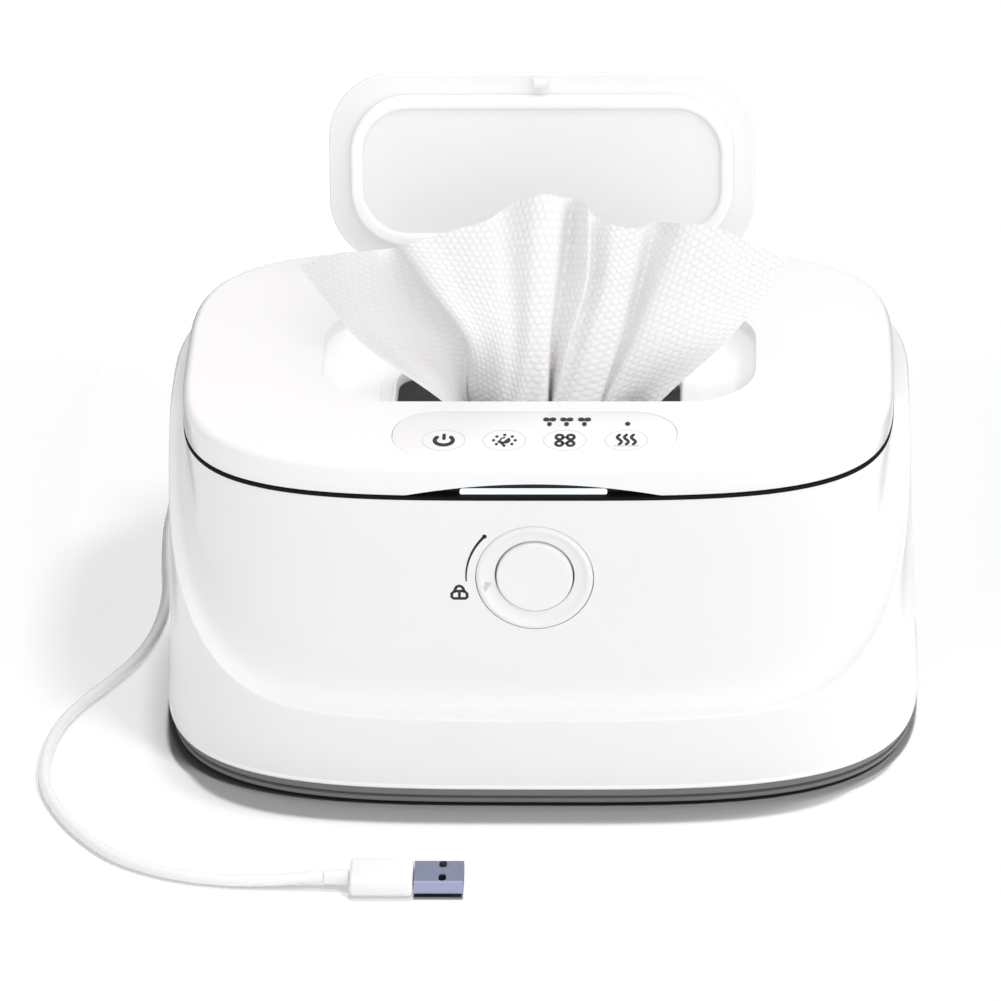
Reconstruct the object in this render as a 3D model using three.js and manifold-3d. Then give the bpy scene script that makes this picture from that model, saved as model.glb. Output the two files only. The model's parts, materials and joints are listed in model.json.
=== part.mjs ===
// Baby wipe warmer: a white tub warmer with a hinged lid, a flip door over the dispensing slot, a
// touch panel, a front knob with a child-lock ring and a thin lead. Millimetres, +Z up, front at -Y.
import * as THREE from 'three';
import { mergeVertices } from 'three/addons/utils/BufferGeometryUtils.js';
import Module from 'manifold-3d';

const wasm = await Module();
wasm.setup();

// The tub takes a pack of wipes, and the lid and the body are drawn round the tub.
const tubWidth = 188;
const tubDepth = 108;
const tubSideMargin = 8.85;
const tubFrontMargin = 18.55;
const tubBackMargin = 10.55;
const lidInsetX = 7.15;
const lidInsetY = 8.95;
const lidWidth = tubWidth + 2 * tubSideMargin;
const lidDepth = tubFrontMargin + tubDepth + tubBackMargin;
const bodyWidth = lidWidth + 2 * lidInsetX;
const bodyDepth = lidDepth + 2 * lidInsetY;
const lidFront = -lidDepth / 2;

// Housing: a wide skirt round a narrower core, joined by a hollow sweep that rises from the front.
const skirtSquareness = 3.46;
const skirtTopInset = 2.6;
const housingBottom = 6.3;
const housingHeight = 90.4;
const housingTop = housingBottom + housingHeight;
const housingWall = 2.4;
const coreFootInset = 1.5;
const edgeRound = 0.8;
const sweepFrontHeight = 27.5;
const sweepStartInset = 9.3;
const sweepStart = sweepStartInset - bodyDepth / 2;
const sweepBlend = 7;
const sweepSlopeShare = 1.1;
const shoulderDrop = 1.3;
const shoulderHeight = housingTop - shoulderDrop;
const coveRise = 6.5;
const shoulderBlend = 3;
const rimWidth = 2.9;
const ledgeWidth = 2.3;
const ledgeDrop = 4;
const ledgeTop = housingTop - ledgeDrop;
const ledgeHeight = 1.2;
const ledgeTaper = 1;

// Lid and the seam under it.
const lidSquareness = 3.73;
const seamHeight = 1.1;
const lidHeight = 9.7;
const lidBottom = housingTop + seamHeight;
const lidTop = lidBottom + lidHeight;
const lidWall = 2.4;
const lidEdgeInset = 2.6;
const lidEdgeHeight = 2.6;
const lidEdgeShares = [0.3, 0.6, 0.85, 1];
const linerThickness = 1.8;
const linerGap = 0.2;
const linerRibHeight = 3;

// Clearance between neighbours, and how far a cutter runs past what it cuts.
const clearance = 0.3;
const overrun = 3;

// Touch panel on the front of the lid's top.
const panelWidth = 81;
const panelDepth = 27;
const panelMargin = 5.55;
const panelFront = lidFront + panelMargin;
const panelBack = panelFront + panelDepth;
const panelCorner = 13;
const overlayThickness = 0.8;
const boardThickness = 1.6;
const boardMargin = 2.5;

// Recess for the flip door, the door, and its hinge.
const recessWidth = 126;
const recessDepth = 58.8;
const recessPanelGap = 6.5;
const recessFront = panelBack + recessPanelGap;
const recessBack = recessFront + recessDepth;
const recessCorner = 20;
const recessDrop = 9;
const recessFloor = lidTop - recessDrop;
const recessSlope = 6.5;
const recessWall = 2;
const recessRiseShares = [0, 0.35, 1];
const recessInsetShares = [1, 0.55, 0];
const doorGap = 0.6;
const doorThickness = 2.2;
const doorEdge = 0.9;
const doorPivotReach = 10.2;
const doorPivotDrop = 2.9;
const doorPivotY = recessBack + doorPivotReach;
const doorPivotZ = lidTop - doorPivotDrop;
const doorOpenDegrees = 102;
const doorBarrelRadius = 2.6;
const doorPinRadius = 1.1;
const doorPinClearance = 0.075;
const doorTongueWidth = 40;
const hingePocketReach = 5.7;
const hingePocketDrop = 3.4;
const hingePocketBack = doorPivotY + hingePocketReach;
const hingePocketFloor = doorPivotZ - hingePocketDrop;
const doorPinReach = 4;
const doorFlange = 5.6;
const doorRimWidth = 4.4;
const doorRimHeight = 3.8;
const doorPanelDepth = 2.2;
const doorCatchWidth = 4;
const doorCatchInset = 0.5;
const doorCatchLip = 0.9;
const doorCatchDepth = 2.2;
const doorCatchHeight = 4.2;

// Dispensing slot and its elastic frame.
const slotWidth = 82;
const slotDepth = 26;
const slotFrontGap = 8.5;
const slotFront = recessFront + slotFrontGap;
const slotBack = slotFront + slotDepth;
const slotCorner = 7;
const slotFrameLip = 4;
const slotFrameThickness = 1.2;
const slotLipShare = 0.4;

// Arch under the lid's front edge, with the light bar.
const archWidth = 74;
const archHeight = 4.7;
const bezelMargin = 1.2;
const bezelDepth = 1.6;
const lightMargin = 15.5;
const lightWidth = archWidth - 2 * lightMargin;
const lightRise = 0.3;
const lightReach = 1.6;
const lightBoardDepth = 1.2;

// Lid hinge at the back.
const lidHingeReach = 3.45;
const lidHingeDrop = 0.2;
const lidHingeY = lidDepth / 2 + lidHingeReach;
const lidHingeZ = lidBottom - lidHingeDrop;
const lidBarrelRadius = 3.1;
const lidPinRadius = 1.4;
const lidHingeSpacing = 76;
const knuckleWidth = 18;
const earWidth = 5;
const hingeReach = 6;

// Tub, seal and heater.
const tubFront = lidFront + tubFrontMargin;
const tubBack = tubFront + tubDepth;
const tubSquareness = 4.6;
const tubWall = 1.8;
const tubTaper = 3;
const tubCornerDrop = 6;
const tubFlangeThickness = 2;
const sealWidth = 4.2;
const sealLip = 1.2;
const heaterWidth = 150;
const heaterDepth = 84;
const heaterThickness = 1.5;
const heaterCorner = 8;
const filmThickness = 0.4;
const padThickness = 5;
const padMargin = 4;
const sensorRadius = 2.6;
const sensorLength = 4;
const fuseRadius = 1.9;
const fuseLength = 11;
const fuseX = 32;

// Base tray, feet, screws and the circuit board.
const trayBottom = 1.2;
const trayInset = 0.7;
const trayFloor = 2.4;
const trayRimWall = 1.8;
const trayRimHeight = 4;
const trayGrooveDepth = 0.8;
const trayGrooveHeight = 0.9;
const footRadius = 7.5;
const footPocket = 1;
const footInsetX = 32;
const footInsetY = 31.5;
const footSpacingX = bodyWidth - 2 * footInsetX;
const footSpacingY = bodyDepth - 2 * footInsetY;
const bossInset = 5.6;
const bossRadius = 4.4;
const bossTop = 22;
const screwRadius = 1.5;
const screwHeadRadius = 2.9;
const screwHeadHeight = 1.8;
const screwSink = 0.6;
const screwTipGap = 0.8;
const controlBoardWidth = 70;
const controlBoardDepth = 42;
const controlBoardX = 45;
const standoffRadius = 2.6;
const standoffHeight = 3;
const chipHeight = 1.6;
const inductorRadius = 4.5;
const inductorHeight = 4;
const padLift = 1.9;
const boardLow = trayBottom + trayFloor + standoffHeight + clearance;
const padLow = boardLow + boardThickness + inductorHeight + padLift;
const padTop = padLow + padThickness;
const filmTop = padTop + clearance + filmThickness;
const heaterTop = filmTop + clearance + heaterThickness;
const tubFloor = heaterTop + clearance + tubWall;

// Front knob: a child-lock ring round a push button that moves the latch.
const knobDrop = 25.7;
const knobHeight = housingTop - knobDrop;
const ringRadius = 17.3;
const ringBore = 11.7;
const ringDepth = 3.8;
const ringDish = 0.7;
const ringProud = 0.3;
const buttonRadius = 11.3;
const buttonDepth = 3;
const buttonDish = 0.35;
const dishShare = 0.25;
const buttonTravel = 2;
const stemRadius = 3;
const collarRadius = 19;
const collarDepth = 9.5;
const collarWall = 1.4;
const springRadius = 5;
const springWire = 0.8;
const springTurns = 3.5;
const latchWidth = 16;
const latchThickness = 1.2;
const latchNoseHeight = 3;
const latchDrop = 1.7;
const latchTop = ledgeTop - latchDrop;
const hookThickness = 1.6;
const hookDrop = 5.7;
const hookBottom = ledgeTop - hookDrop;
const hookWidth = 14;

// Lead: strain relief, free stretches, stored coil with its tie, and the flat plug.
const cordDiameter = 3.4;
const exitX = -62.5;
const exitHeight = 18;
const padRadius = 7.4;
const exitPadProud = 1.45;
const reliefNeck = 3.9;
const reliefFlange = 5.8;
const reliefFlangeDepth = 1.4;
const reliefTipRadius = 2.4;
const reliefLength = 20;
const coilOuterRadius = 26.4;
const coilPitch = 4;
const layerTurns = 3;
const layerRise = 4;
const climbDip = 0.9;
const climbShare = 0.5;
const coilCentreX = exitX - coilOuterRadius;
const coilCentreY = 140;
const tieThickness = 0.7;
const tieWidth = 5;
const tieCorner = 2.5;
const plugY = -121.4;
const plugHeight = 6.6;
const plugWidth = 14;
const plugLength = 18;
const plugEdge = 1;
const plugCorner = 3;
const plugReliefLength = 7;
const plugReliefRadius = 2.5;
const shellWidth = 12;
const shellHeight = 4.5;
const shellLength = 14;
const shellWall = 0.4;
const shellHole = 2.2;
const plugBodyX = -52;

// Wipe that stands out of the slot.
const wipeThickness = 0.9;
const wipeTailDrop = 27.8;
const wipeShoulderRise = 30.5;
const wipePeakRise = 51.5;
const wipeTail = lidBottom - wipeTailDrop;
const wipeShoulder = lidTop + wipeShoulderRise;
const wipePeak = lidTop + wipePeakRise;
const wipeTopWidth = 141;
const wipeSlotMargin = 3.5;
const wipeTailTaper = 5;
const wipeSlotWidth = slotWidth - 2 * wipeSlotMargin;
const wipeLean = 17;
const wipeFoldDepth = 9;
const wipeSlotFold = 1.6;
const wipeFoldTurnsShare = 2.6;
const wipeArchShare = 1.7;
const wipeColumns = 26;
const wipeRows = 12;

// Fineness of the round stretches.
const bodySegments = 48;
const cornerSegments = 5;
const roundSegments = 24;
const rodSegments = 12;
const coveSteps = 4;
const coilStepsPerTurn = 24;
const coilSides = 6;
const cordSides = 8;
const cordStepShare = 2.5;
const springStepsPerTurn = 10;
const springSides = 5;
const slopeStepShare = 0.01;

const degrees = Math.PI / 180;
const fullTurn = 2 * Math.PI;

const skirt = { halfWidth: bodyWidth / 2, halfDepth: bodyDepth / 2, squareness: skirtSquareness };
const core = { halfWidth: lidWidth / 2, halfDepth: lidDepth / 2, squareness: lidSquareness };
const tub = { halfWidth: tubWidth / 2, halfDepth: tubDepth / 2, squareness: tubSquareness };
const tubCentreY = (tubBack + tubFront) / 2;

const finish = (name, color, roughness, metalness = 0) => (
  new THREE.MeshStandardMaterial({ name, color, roughness, metalness })
);
const materials = {
  white: finish('white_plastic', 0xf4f3f5, 0.32),
  innerWhite: finish('inner_white_plastic', 0xeeeef0, 0.45),
  dark: finish('dark_plastic', 0x2a2b2e, 0.5),
  rubber: finish('black_rubber', 0x161617, 0.8),
  softGrey: finish('soft_grey_rubber', 0x6d6663, 0.7),
  panel: finish('touch_panel', 0xf0f0f3, 0.2),
  board: finish('circuit_board', 0x1f5a3a, 0.5),
  aluminium: finish('aluminium', 0xb8babd, 0.4, 1),
  steel: finish('steel', 0x9fa1a6, 0.3, 1),
  film: finish('heating_film', 0xb5652a, 0.4),
  foam: finish('foam', 0xd9d7d0, 0.9),
  light: finish('light_bar', 0xe6f2ff, 0.3),
  cord: finish('white_cord', 0xf1f0f0, 0.45),
  wipe: finish('wet_wipe', 0xf7f7f8, 0.8),
};

// Shape helpers.

// Point on a superellipse, drawn in by an inset, at an angle round it.
function outlinePoint(outline, angle, inset) {
  const across = Math.cos(angle);
  const along = Math.sin(angle);
  const power = outline.squareness;
  const reach = (Math.abs(across) ** power + Math.abs(along) ** power) ** (-1 / power);
  return [(outline.halfWidth - inset) * across * reach, (outline.halfDepth - inset) * along * reach];
}

// How far back a superellipse reaches at a place across it.
function outlineDepth(outline, x) {
  const power = outline.squareness;
  return outline.halfDepth * (1 - (Math.abs(x) / outline.halfWidth) ** power) ** (1 / power);
}

const drawnIn = (outline, inset) => ({
  halfWidth: outline.halfWidth - inset,
  halfDepth: outline.halfDepth - inset,
  squareness: outline.squareness,
});

const bodyAngles = Array.from({ length: bodySegments }, (_, k) => (k * fullTurn) / bodySegments);

const outlineRing = (outline, inset, z, centreY = 0) => (
  bodyAngles.map((angle) => {
    const [x, y] = outlinePoint(outline, angle, inset);
    return [x, y + centreY, z];
  })
);

// Rectangle with round corners, as a ring of points.
function roundedRing(width, depth, radius, z, centreX = 0, centreY = 0) {
  const ring = [];
  for (let corner = 0; corner < 4; corner += 1) {
    const start = (corner * fullTurn) / 4;
    const right = corner === 0 || corner === 3 ? 1 : -1;
    const back = corner < 2 ? 1 : -1;
    for (let k = 0; k <= cornerSegments; k += 1) {
      const angle = start + ((k / cornerSegments) * fullTurn) / 4;
      ring.push([
        centreX + right * (width / 2 - radius) + radius * Math.cos(angle),
        centreY + back * (depth / 2 - radius) + radius * Math.sin(angle),
        z,
      ]);
    }
  }
  return ring;
}

// Skins a stack of rings. A closed stack goes back to its first ring; an open one gets two end caps.
function skin(rings, closed = false) {
  const count = rings[0].length;
  const points = rings.flat();
  const faces = [];
  const rows = closed ? rings.length : rings.length - 1;
  for (let row = 0; row < rows; row += 1) {
    const low = row * count;
    const high = ((row + 1) % rings.length) * count;
    for (let k = 0; k < count; k += 1) {
      const next = (k + 1) % count;
      faces.push(low + k, low + next, high + next, low + k, high + next, high + k);
    }
  }
  if (!closed) {
    const last = (rings.length - 1) * count;
    const middle = (ring) => ring.reduce((sum, p) => sum.map((s, i) => s + p[i] / count), [0, 0, 0]);
    const lowMiddle = points.push(middle(rings[0])) - 1;
    const highMiddle = points.push(middle(rings[rings.length - 1])) - 1;
    for (let k = 0; k < count; k += 1) {
      const next = (k + 1) % count;
      faces.push(lowMiddle, next, k, highMiddle, last + k, last + next);
    }
  }
  const geometry = new THREE.BufferGeometry();
  geometry.setAttribute('position', new THREE.Float32BufferAttribute(points.flat(), 3));
  geometry.setIndex(faces);
  return geometry;
}

// Keeps only positions, merges equal ones, drops faces that have no area and turns the faces outwards.
function tidy(geometry) {
  const bare = geometry.clone();
  ['normal', 'uv', 'uv1', 'uv2'].forEach((name) => bare.deleteAttribute(name));
  const merged = mergeVertices(bare);
  const source = merged.index.array;
  const place = (k) => new THREE.Vector3().fromBufferAttribute(merged.attributes.position, k);
  const faces = [];
  let volume = 0;
  for (let k = 0; k < source.length; k += 3) {
    const [a, b, c] = [source[k], source[k + 1], source[k + 2]];
    if (a !== b && b !== c && c !== a) {
      faces.push([a, b, c]);
      volume += place(a).dot(place(b).cross(place(c)));
    }
  }
  merged.setIndex((volume < 0 ? faces.map(([a, b, c]) => [a, c, b]) : faces).flat());
  return merged;
}

function toSolid(geometry) {
  const clean = tidy(geometry);
  return new wasm.Manifold(new wasm.Mesh({
    numProp: 3,
    vertProperties: new Float32Array(clean.attributes.position.array),
    triVerts: new Uint32Array(clean.index.array),
  }));
}

function toGeometry(solid) {
  const mesh = solid.getMesh();
  const geometry = new THREE.BufferGeometry();
  geometry.setAttribute('position', new THREE.BufferAttribute(new Float32Array(mesh.vertProperties), 3));
  geometry.setIndex(new THREE.BufferAttribute(new Uint32Array(mesh.triVerts), 1));
  return geometry;
}

const cut = (geometry, ...tools) => (
  toGeometry(tools.reduce((solid, tool) => solid.subtract(toSolid(tool)), toSolid(geometry)))
);
const join = (geometry, ...others) => (
  toGeometry(others.reduce((solid, other) => solid.add(toSolid(other)), toSolid(geometry)))
);
const overlap = (geometry, other) => toGeometry(toSolid(geometry).intersect(toSolid(other)));

// Box from its lowest and highest corners.
function block(low, high) {
  const size = high.map((value, axis) => value - low[axis]);
  const middle = high.map((value, axis) => (value + low[axis]) / 2);
  return new THREE.BoxGeometry(...size).translate(...middle);
}

const slab = (width, depth, radius, low, high, centreX = 0, centreY = 0) => skin([
  roundedRing(width, depth, radius, low, centreX, centreY),
  roundedRing(width, depth, radius, high, centreX, centreY),
]);

// Cylinders along each axis, from one place to another.
const rod = (radius, from, to, segments = rodSegments) => (
  new THREE.CylinderGeometry(radius, radius, Math.abs(to - from), segments)
);
const rodAlongX = (radius, from, to, y, z) => (
  rod(radius, from, to).rotateZ(fullTurn / 4).translate((from + to) / 2, y, z)
);
const rodAlongY = (radius, from, to, x, z) => (
  rod(radius, from, to, roundSegments).translate(x, (from + to) / 2, z)
);
const rodAlongZ = (radius, from, to, x, y) => (
  rod(radius, from, to).rotateX(fullTurn / 4).translate(x, y, (from + to) / 2)
);

// Revolves a profile of [radius, place] round a line along Y through (x, z).
const revolveAlongY = (profile, x, z) => (
  new THREE.LatheGeometry(profile.map(([radius, place]) => new THREE.Vector2(radius, place)), roundSegments)
    .translate(x, 0, z)
);

const corners = (spacingX, spacingY) => [
  [-spacingX / 2, -spacingY / 2], [spacingX / 2, -spacingY / 2],
  [spacingX / 2, spacingY / 2], [-spacingX / 2, spacingY / 2],
];

// Housing.

// Height of the skirt's upper edge at a depth: low and level in front, then a straight climb, and
// level again at the shoulder. Two hyperbolas round the bends.
function sweepHeight(y) {
  const past = y - sweepStart;
  const climb = (sweepSlopeShare / 2) * (past + Math.hypot(past, sweepBlend));
  const under = shoulderHeight - (sweepFrontHeight + climb);
  return shoulderHeight - (under + Math.hypot(under, shoulderBlend)) / 2;
}

function sweepSteepness(y) {
  const step = sweepBlend * slopeStepShare;
  return (sweepHeight(y + step) - sweepHeight(y - step)) / (2 * step);
}

const skirtInset = (z) => (skirtTopInset * (z - housingBottom)) / (housingTop - housingBottom);
const coreInset = (z) => (coreFootInset * (housingTop - z)) / (housingTop - housingBottom);

const skirtPoint = (angle, inset, z) => [...outlinePoint(skirt, angle, skirtInset(z) + inset), z];
const corePoint = (angle, inset, z) => [...outlinePoint(core, angle, coreInset(z) + inset), z];

// Heights of the skirt's edge and of the core's foot at one angle.
function sweepAt(angle) {
  const [, skirtY] = outlinePoint(skirt, angle, skirtTopInset);
  const [, coreY] = outlinePoint(core, angle, 0);
  const edge = sweepHeight(skirtY);
  const climb = sweepHeight(coreY) + coveRise * Math.hypot(1, sweepSteepness(coreY));
  const roof = housingTop - edgeRound;
  const under = roof - climb;
  const foot = roof - (under + Math.hypot(under, edgeRound)) / 2;
  return { edge, foot: Math.max(foot, edge + edgeRound) };
}

// A point on the hollow between skirt and core, moved into the wall by a depth.
function covePoint(angle, share, depth) {
  const { edge, foot } = sweepAt(angle);
  const turn = (share * fullTurn) / 4;
  const z = edge + (foot - edge) * (1 - Math.cos(turn)) - depth * Math.cos(turn);
  const inset = depth * Math.sin(turn);
  const outer = outlinePoint(skirt, angle, skirtInset(edge) + edgeRound + inset);
  const inner = outlinePoint(core, angle, coreInset(foot) + inset);
  const blend = Math.sin(turn);
  return [outer[0] + (inner[0] - outer[0]) * blend, outer[1] + (inner[1] - outer[1]) * blend, z];
}

function housingShell() {
  const ring = (place) => bodyAngles.map(place);
  const heightBelowEdge = (angle, share) => (
    housingBottom + (sweepAt(angle).edge - edgeRound - housingBottom) * share
  );
  const coveShares = Array.from({ length: coveSteps + 1 }, (_, k) => k / coveSteps);
  const ledgeInset = rimWidth + ledgeWidth;
  const inner = (z, inset) => ring((angle) => corePoint(angle, inset, z));
  return skin([
    ring((angle) => skirtPoint(angle, edgeRound, housingBottom)),
    ring((angle) => skirtPoint(angle, 0, housingBottom + edgeRound)),
    ring((angle) => skirtPoint(angle, 0, heightBelowEdge(angle, 0.5))),
    ring((angle) => skirtPoint(angle, 0, heightBelowEdge(angle, 1))),
    ...coveShares.map((share) => ring((angle) => covePoint(angle, share, 0))),
    ring((angle) => corePoint(angle, edgeRound / 2, housingTop)),
    inner(housingTop, rimWidth),
    inner(ledgeTop, rimWidth),
    inner(ledgeTop, ledgeInset),
    inner(ledgeTop - ledgeHeight, ledgeInset),
    ring((angle) => corePoint(
      angle,
      housingWall,
      Math.max(ledgeTop - ledgeHeight - ledgeTaper, sweepAt(angle).foot + edgeRound),
    )),
    ...coveShares.toReversed().map((share) => ring((angle) => covePoint(angle, share, housingWall))),
    ring((angle) => skirtPoint(angle, housingWall, heightBelowEdge(angle, 1) - housingWall)),
    ring((angle) => skirtPoint(angle, housingWall, housingBottom)),
  ], true);
}

// Front face of the panel at the knob's height.
const panelFaceY = -(core.halfDepth - coreInset(knobHeight));
const panelBackY = panelFaceY + housingWall;

function lidHingeSides() {
  return [-1, 1].map((side) => side * (lidHingeSpacing / 2));
}

const earShift = (knuckleWidth + earWidth) / 2 + clearance;

// One hinge ear: a round top on a post that stands in the shoulder at the back.
function hingeEar(centreX) {
  const low = centreX - earWidth / 2;
  const high = centreX + earWidth / 2;
  return join(
    rodAlongX(lidBarrelRadius, low, high, lidHingeY, lidHingeZ),
    block(
      [low, lidHingeY - lidBarrelRadius, ledgeTop],
      [high, lidHingeY + lidBarrelRadius, lidHingeZ],
    ),
  );
}

const pinHoleRadius = lidPinRadius + clearance;
const exitPadY = outlineDepth(skirt, exitX) + exitPadProud;
const reliefWall = drawnIn(skirt, housingWall + skirtInset(exitHeight + reliefFlange) + clearance);
const reliefSeatY = outlineDepth(reliefWall, Math.abs(exitX) + reliefFlange);
const bossPlaces = [-1, 1].flatMap((right) => [-1, 1].map((back) => {
  const [x, y] = outlinePoint(skirt, fullTurn / 8, bossInset);
  return [right * x, back * y];
}));

function outerHousing() {
  const bosses = bossPlaces.map(([x, y]) => (
    rodAlongZ(bossRadius, housingBottom + clearance, bossTop, x, y)
  ));
  const bossHoles = bossPlaces.map(([x, y]) => (
    rodAlongZ(screwRadius + clearance, housingBottom - overrun, bossTop - housingWall, x, y)
  ));
  const exitPad = rodAlongY(padRadius, reliefSeatY, exitPadY, exitX, exitHeight);
  const ears = lidHingeSides().flatMap((x) => [hingeEar(x - earShift), hingeEar(x + earShift)]);
  const knuckleRooms = lidHingeSides().map((x) => block(
    [x - knuckleWidth / 2 - clearance, lidHingeY - lidBarrelRadius - 2 * clearance, lidHingeZ - hingeReach],
    [x + knuckleWidth / 2 + clearance, skirt.halfDepth + overrun, lidHingeZ + hingeReach],
  ));
  const pinHoles = lidHingeSides().map((x) => rodAlongX(
    pinHoleRadius,
    x - knuckleWidth / 2 - earWidth - 2 * clearance,
    x + knuckleWidth / 2 + earWidth + 2 * clearance,
    lidHingeY,
    lidHingeZ,
  ));
  return cut(
    join(housingShell(), ...bosses, exitPad, ...ears),
    ...bossHoles,
    rodAlongY(reliefNeck + clearance, reliefSeatY - overrun, exitPadY + overrun, exitX, exitHeight),
    rodAlongY(ringRadius + clearance, panelFaceY - overrun, panelBackY + overrun, 0, knobHeight),
    ...knuckleRooms,
    ...pinHoles,
  );
}

// Base tray: floor, grooved side, and an upright rim that locates the housing.
function basePlate() {
  const top = housingBottom - clearance;
  const grooveLow = (trayBottom + top - trayGrooveHeight) / 2;
  const grooveHigh = grooveLow + trayGrooveHeight;
  const ring = (inset, z) => outlineRing(skirt, inset, z);
  const rimInset = housingWall + clearance;
  const tray = skin([
    ring(trayInset + edgeRound, trayBottom),
    ring(trayInset, trayBottom + edgeRound),
    ring(trayInset, grooveLow),
    ring(trayInset + trayGrooveDepth, grooveLow),
    ring(trayInset + trayGrooveDepth, grooveHigh),
    ring(trayInset, grooveHigh),
    ring(trayInset, top),
    ring(rimInset, top),
    ring(rimInset, top + trayRimHeight),
    ring(rimInset + trayRimWall, top + trayRimHeight),
    ring(rimInset + trayRimWall, trayBottom + trayFloor),
  ]);
  const posts = bossPlaces.map(([x, y]) => (
    rodAlongZ(bossRadius, trayBottom + trayFloor / 2, top, x, y)
  ));
  const standoffs = corners(controlBoardWidth, controlBoardDepth).map(([x, y]) => rodAlongZ(
    standoffRadius,
    trayBottom + trayFloor / 2,
    trayBottom + trayFloor + standoffHeight,
    x - Math.sign(x) * 2 * standoffRadius + controlBoardX,
    y - Math.sign(y) * 2 * standoffRadius,
  ));
  const bossRooms = bossPlaces.map(([x, y]) => (
    rodAlongZ(bossRadius + clearance, top, top + trayRimHeight + overrun, x, y)
  ));
  const feet = corners(footSpacingX, footSpacingY).map(([x, y]) => (
    rodAlongZ(footRadius + clearance, trayBottom - overrun, trayBottom + footPocket, x, y)
  ));
  const screws = bossPlaces.flatMap(([x, y]) => [
    rodAlongZ(screwRadius + clearance, trayBottom - overrun, top + overrun, x, y),
    rodAlongZ(
      screwHeadRadius + clearance,
      trayBottom - overrun,
      trayBottom + screwSink + screwHeadHeight + clearance,
      x,
      y,
    ),
  ]);
  return cut(join(tray, ...posts, ...standoffs), ...bossRooms, ...feet, ...screws);
}

function foot(x, y) {
  const top = trayBottom + footPocket - clearance;
  const edge = footRadius - edgeRound;
  const profile = [[0, 0], [edge, 0], [footRadius, edgeRound], [footRadius, top], [0, top]];
  return new THREE.LatheGeometry(profile.map(([r, z]) => new THREE.Vector2(r, z)), roundSegments)
    .rotateX(fullTurn / 4)
    .translate(x, y, 0);
}

function baseScrew(x, y) {
  const headLow = trayBottom + screwSink;
  const headHigh = headLow + screwHeadHeight;
  const driveWidth = screwHeadRadius / 3;
  const drive = [[screwHeadRadius, driveWidth], [driveWidth, screwHeadRadius]].map(([a, b]) => block(
    [x - a / 2, y - b / 2, headLow - overrun],
    [x + a / 2, y + b / 2, headLow + screwHeadHeight / 2],
  ));
  return cut(
    join(
      rodAlongZ(screwHeadRadius, headLow, headHigh, x, y),
      rodAlongZ(screwRadius, headHigh - screwHeadHeight / 2, bossTop - housingWall - screwTipGap, x, y),
    ),
    ...drive,
  );
}

// Tub: tapering walls, a rounded foot and a flange that rests on the housing's ledge.
const tubFlangeLow = ledgeTop + clearance;
const tubFlangeTop = tubFlangeLow + tubFlangeThickness;
const hookY = panelFaceY - ringProud + collarDepth - hookThickness / 2;

function innerTub() {
  const wall = (inset, z) => outlineRing(tub, inset, z, tubCentreY);
  const flange = (inset, z) => outlineRing(core, inset, z);
  const outside = tubWall;
  const body = skin([
    wall(tubTaper + tubCornerDrop - outside, tubFloor - tubWall),
    wall(tubTaper + tubCornerDrop / 4 - outside, tubFloor - tubWall + tubCornerDrop / 3),
    wall(tubTaper - outside, tubFloor - tubWall + tubCornerDrop),
    wall(-outside, tubFlangeLow),
    flange(rimWidth + clearance, tubFlangeLow),
    flange(rimWidth + clearance, tubFlangeTop),
    wall(0, tubFlangeTop),
    wall(tubTaper, tubFloor + tubCornerDrop),
    wall(tubTaper + tubCornerDrop / 4, tubFloor + tubCornerDrop / 3),
    wall(tubTaper + tubCornerDrop, tubFloor),
  ]);
  return cut(body, block(
    [-hookWidth / 2 - 2 * clearance, hookY - 2 * hookThickness, tubFlangeLow - overrun],
    [hookWidth / 2 + 2 * clearance, hookY + hookThickness, tubFlangeTop + overrun],
  ));
}

// Seal that lies on the flange: a flat foot with a raised outer lip.
function rimSeal() {
  const low = tubFlangeTop + clearance;
  const high = lidBottom + linerGap - clearance;
  const outer = rimWidth + 2 * clearance;
  const ring = (inset, z) => outlineRing(core, inset, z);
  return skin([
    ring(outer, low),
    ring(outer, high),
    ring(outer + sealLip, high),
    ring(outer + 2 * sealLip, low + (high - low) / 2),
    ring(outer + sealWidth, low + (high - low) / 2),
    ring(outer + sealWidth, low),
  ], true);
}

// Heater stack under the tub's floor.

function heatingPlate() {
  const low = heaterTop - heaterThickness;
  return slab(heaterWidth, heaterDepth, heaterCorner, low, heaterTop, 0, tubCentreY);
}

function heatingFilm() {
  const width = heaterWidth - padMargin;
  const depth = heaterDepth - padMargin;
  return slab(width, depth, heaterCorner, filmTop - filmThickness, filmTop, 0, tubCentreY);
}

function insulationPad() {
  const sheet = slab(heaterWidth, heaterDepth, heaterCorner, padLow, padTop, 0, tubCentreY);
  return cut(
    sheet,
    rodAlongZ(sensorRadius + clearance, padLow - overrun, padTop + overrun, 0, tubCentreY),
    block(
      [fuseX - fuseLength / 2 - clearance, tubCentreY - fuseRadius - clearance, padTop - 2 * fuseRadius],
      [fuseX + fuseLength / 2 + clearance, tubCentreY + fuseRadius + clearance, padTop + overrun],
    ),
  );
}

function temperatureSensor() {
  return rodAlongZ(sensorRadius, padTop - sensorLength, padTop, 0, tubCentreY);
}

function thermalFuse() {
  const radius = fuseRadius - clearance;
  return rodAlongX(radius, fuseX - fuseLength / 2, fuseX + fuseLength / 2, tubCentreY, padTop - radius);
}

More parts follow.
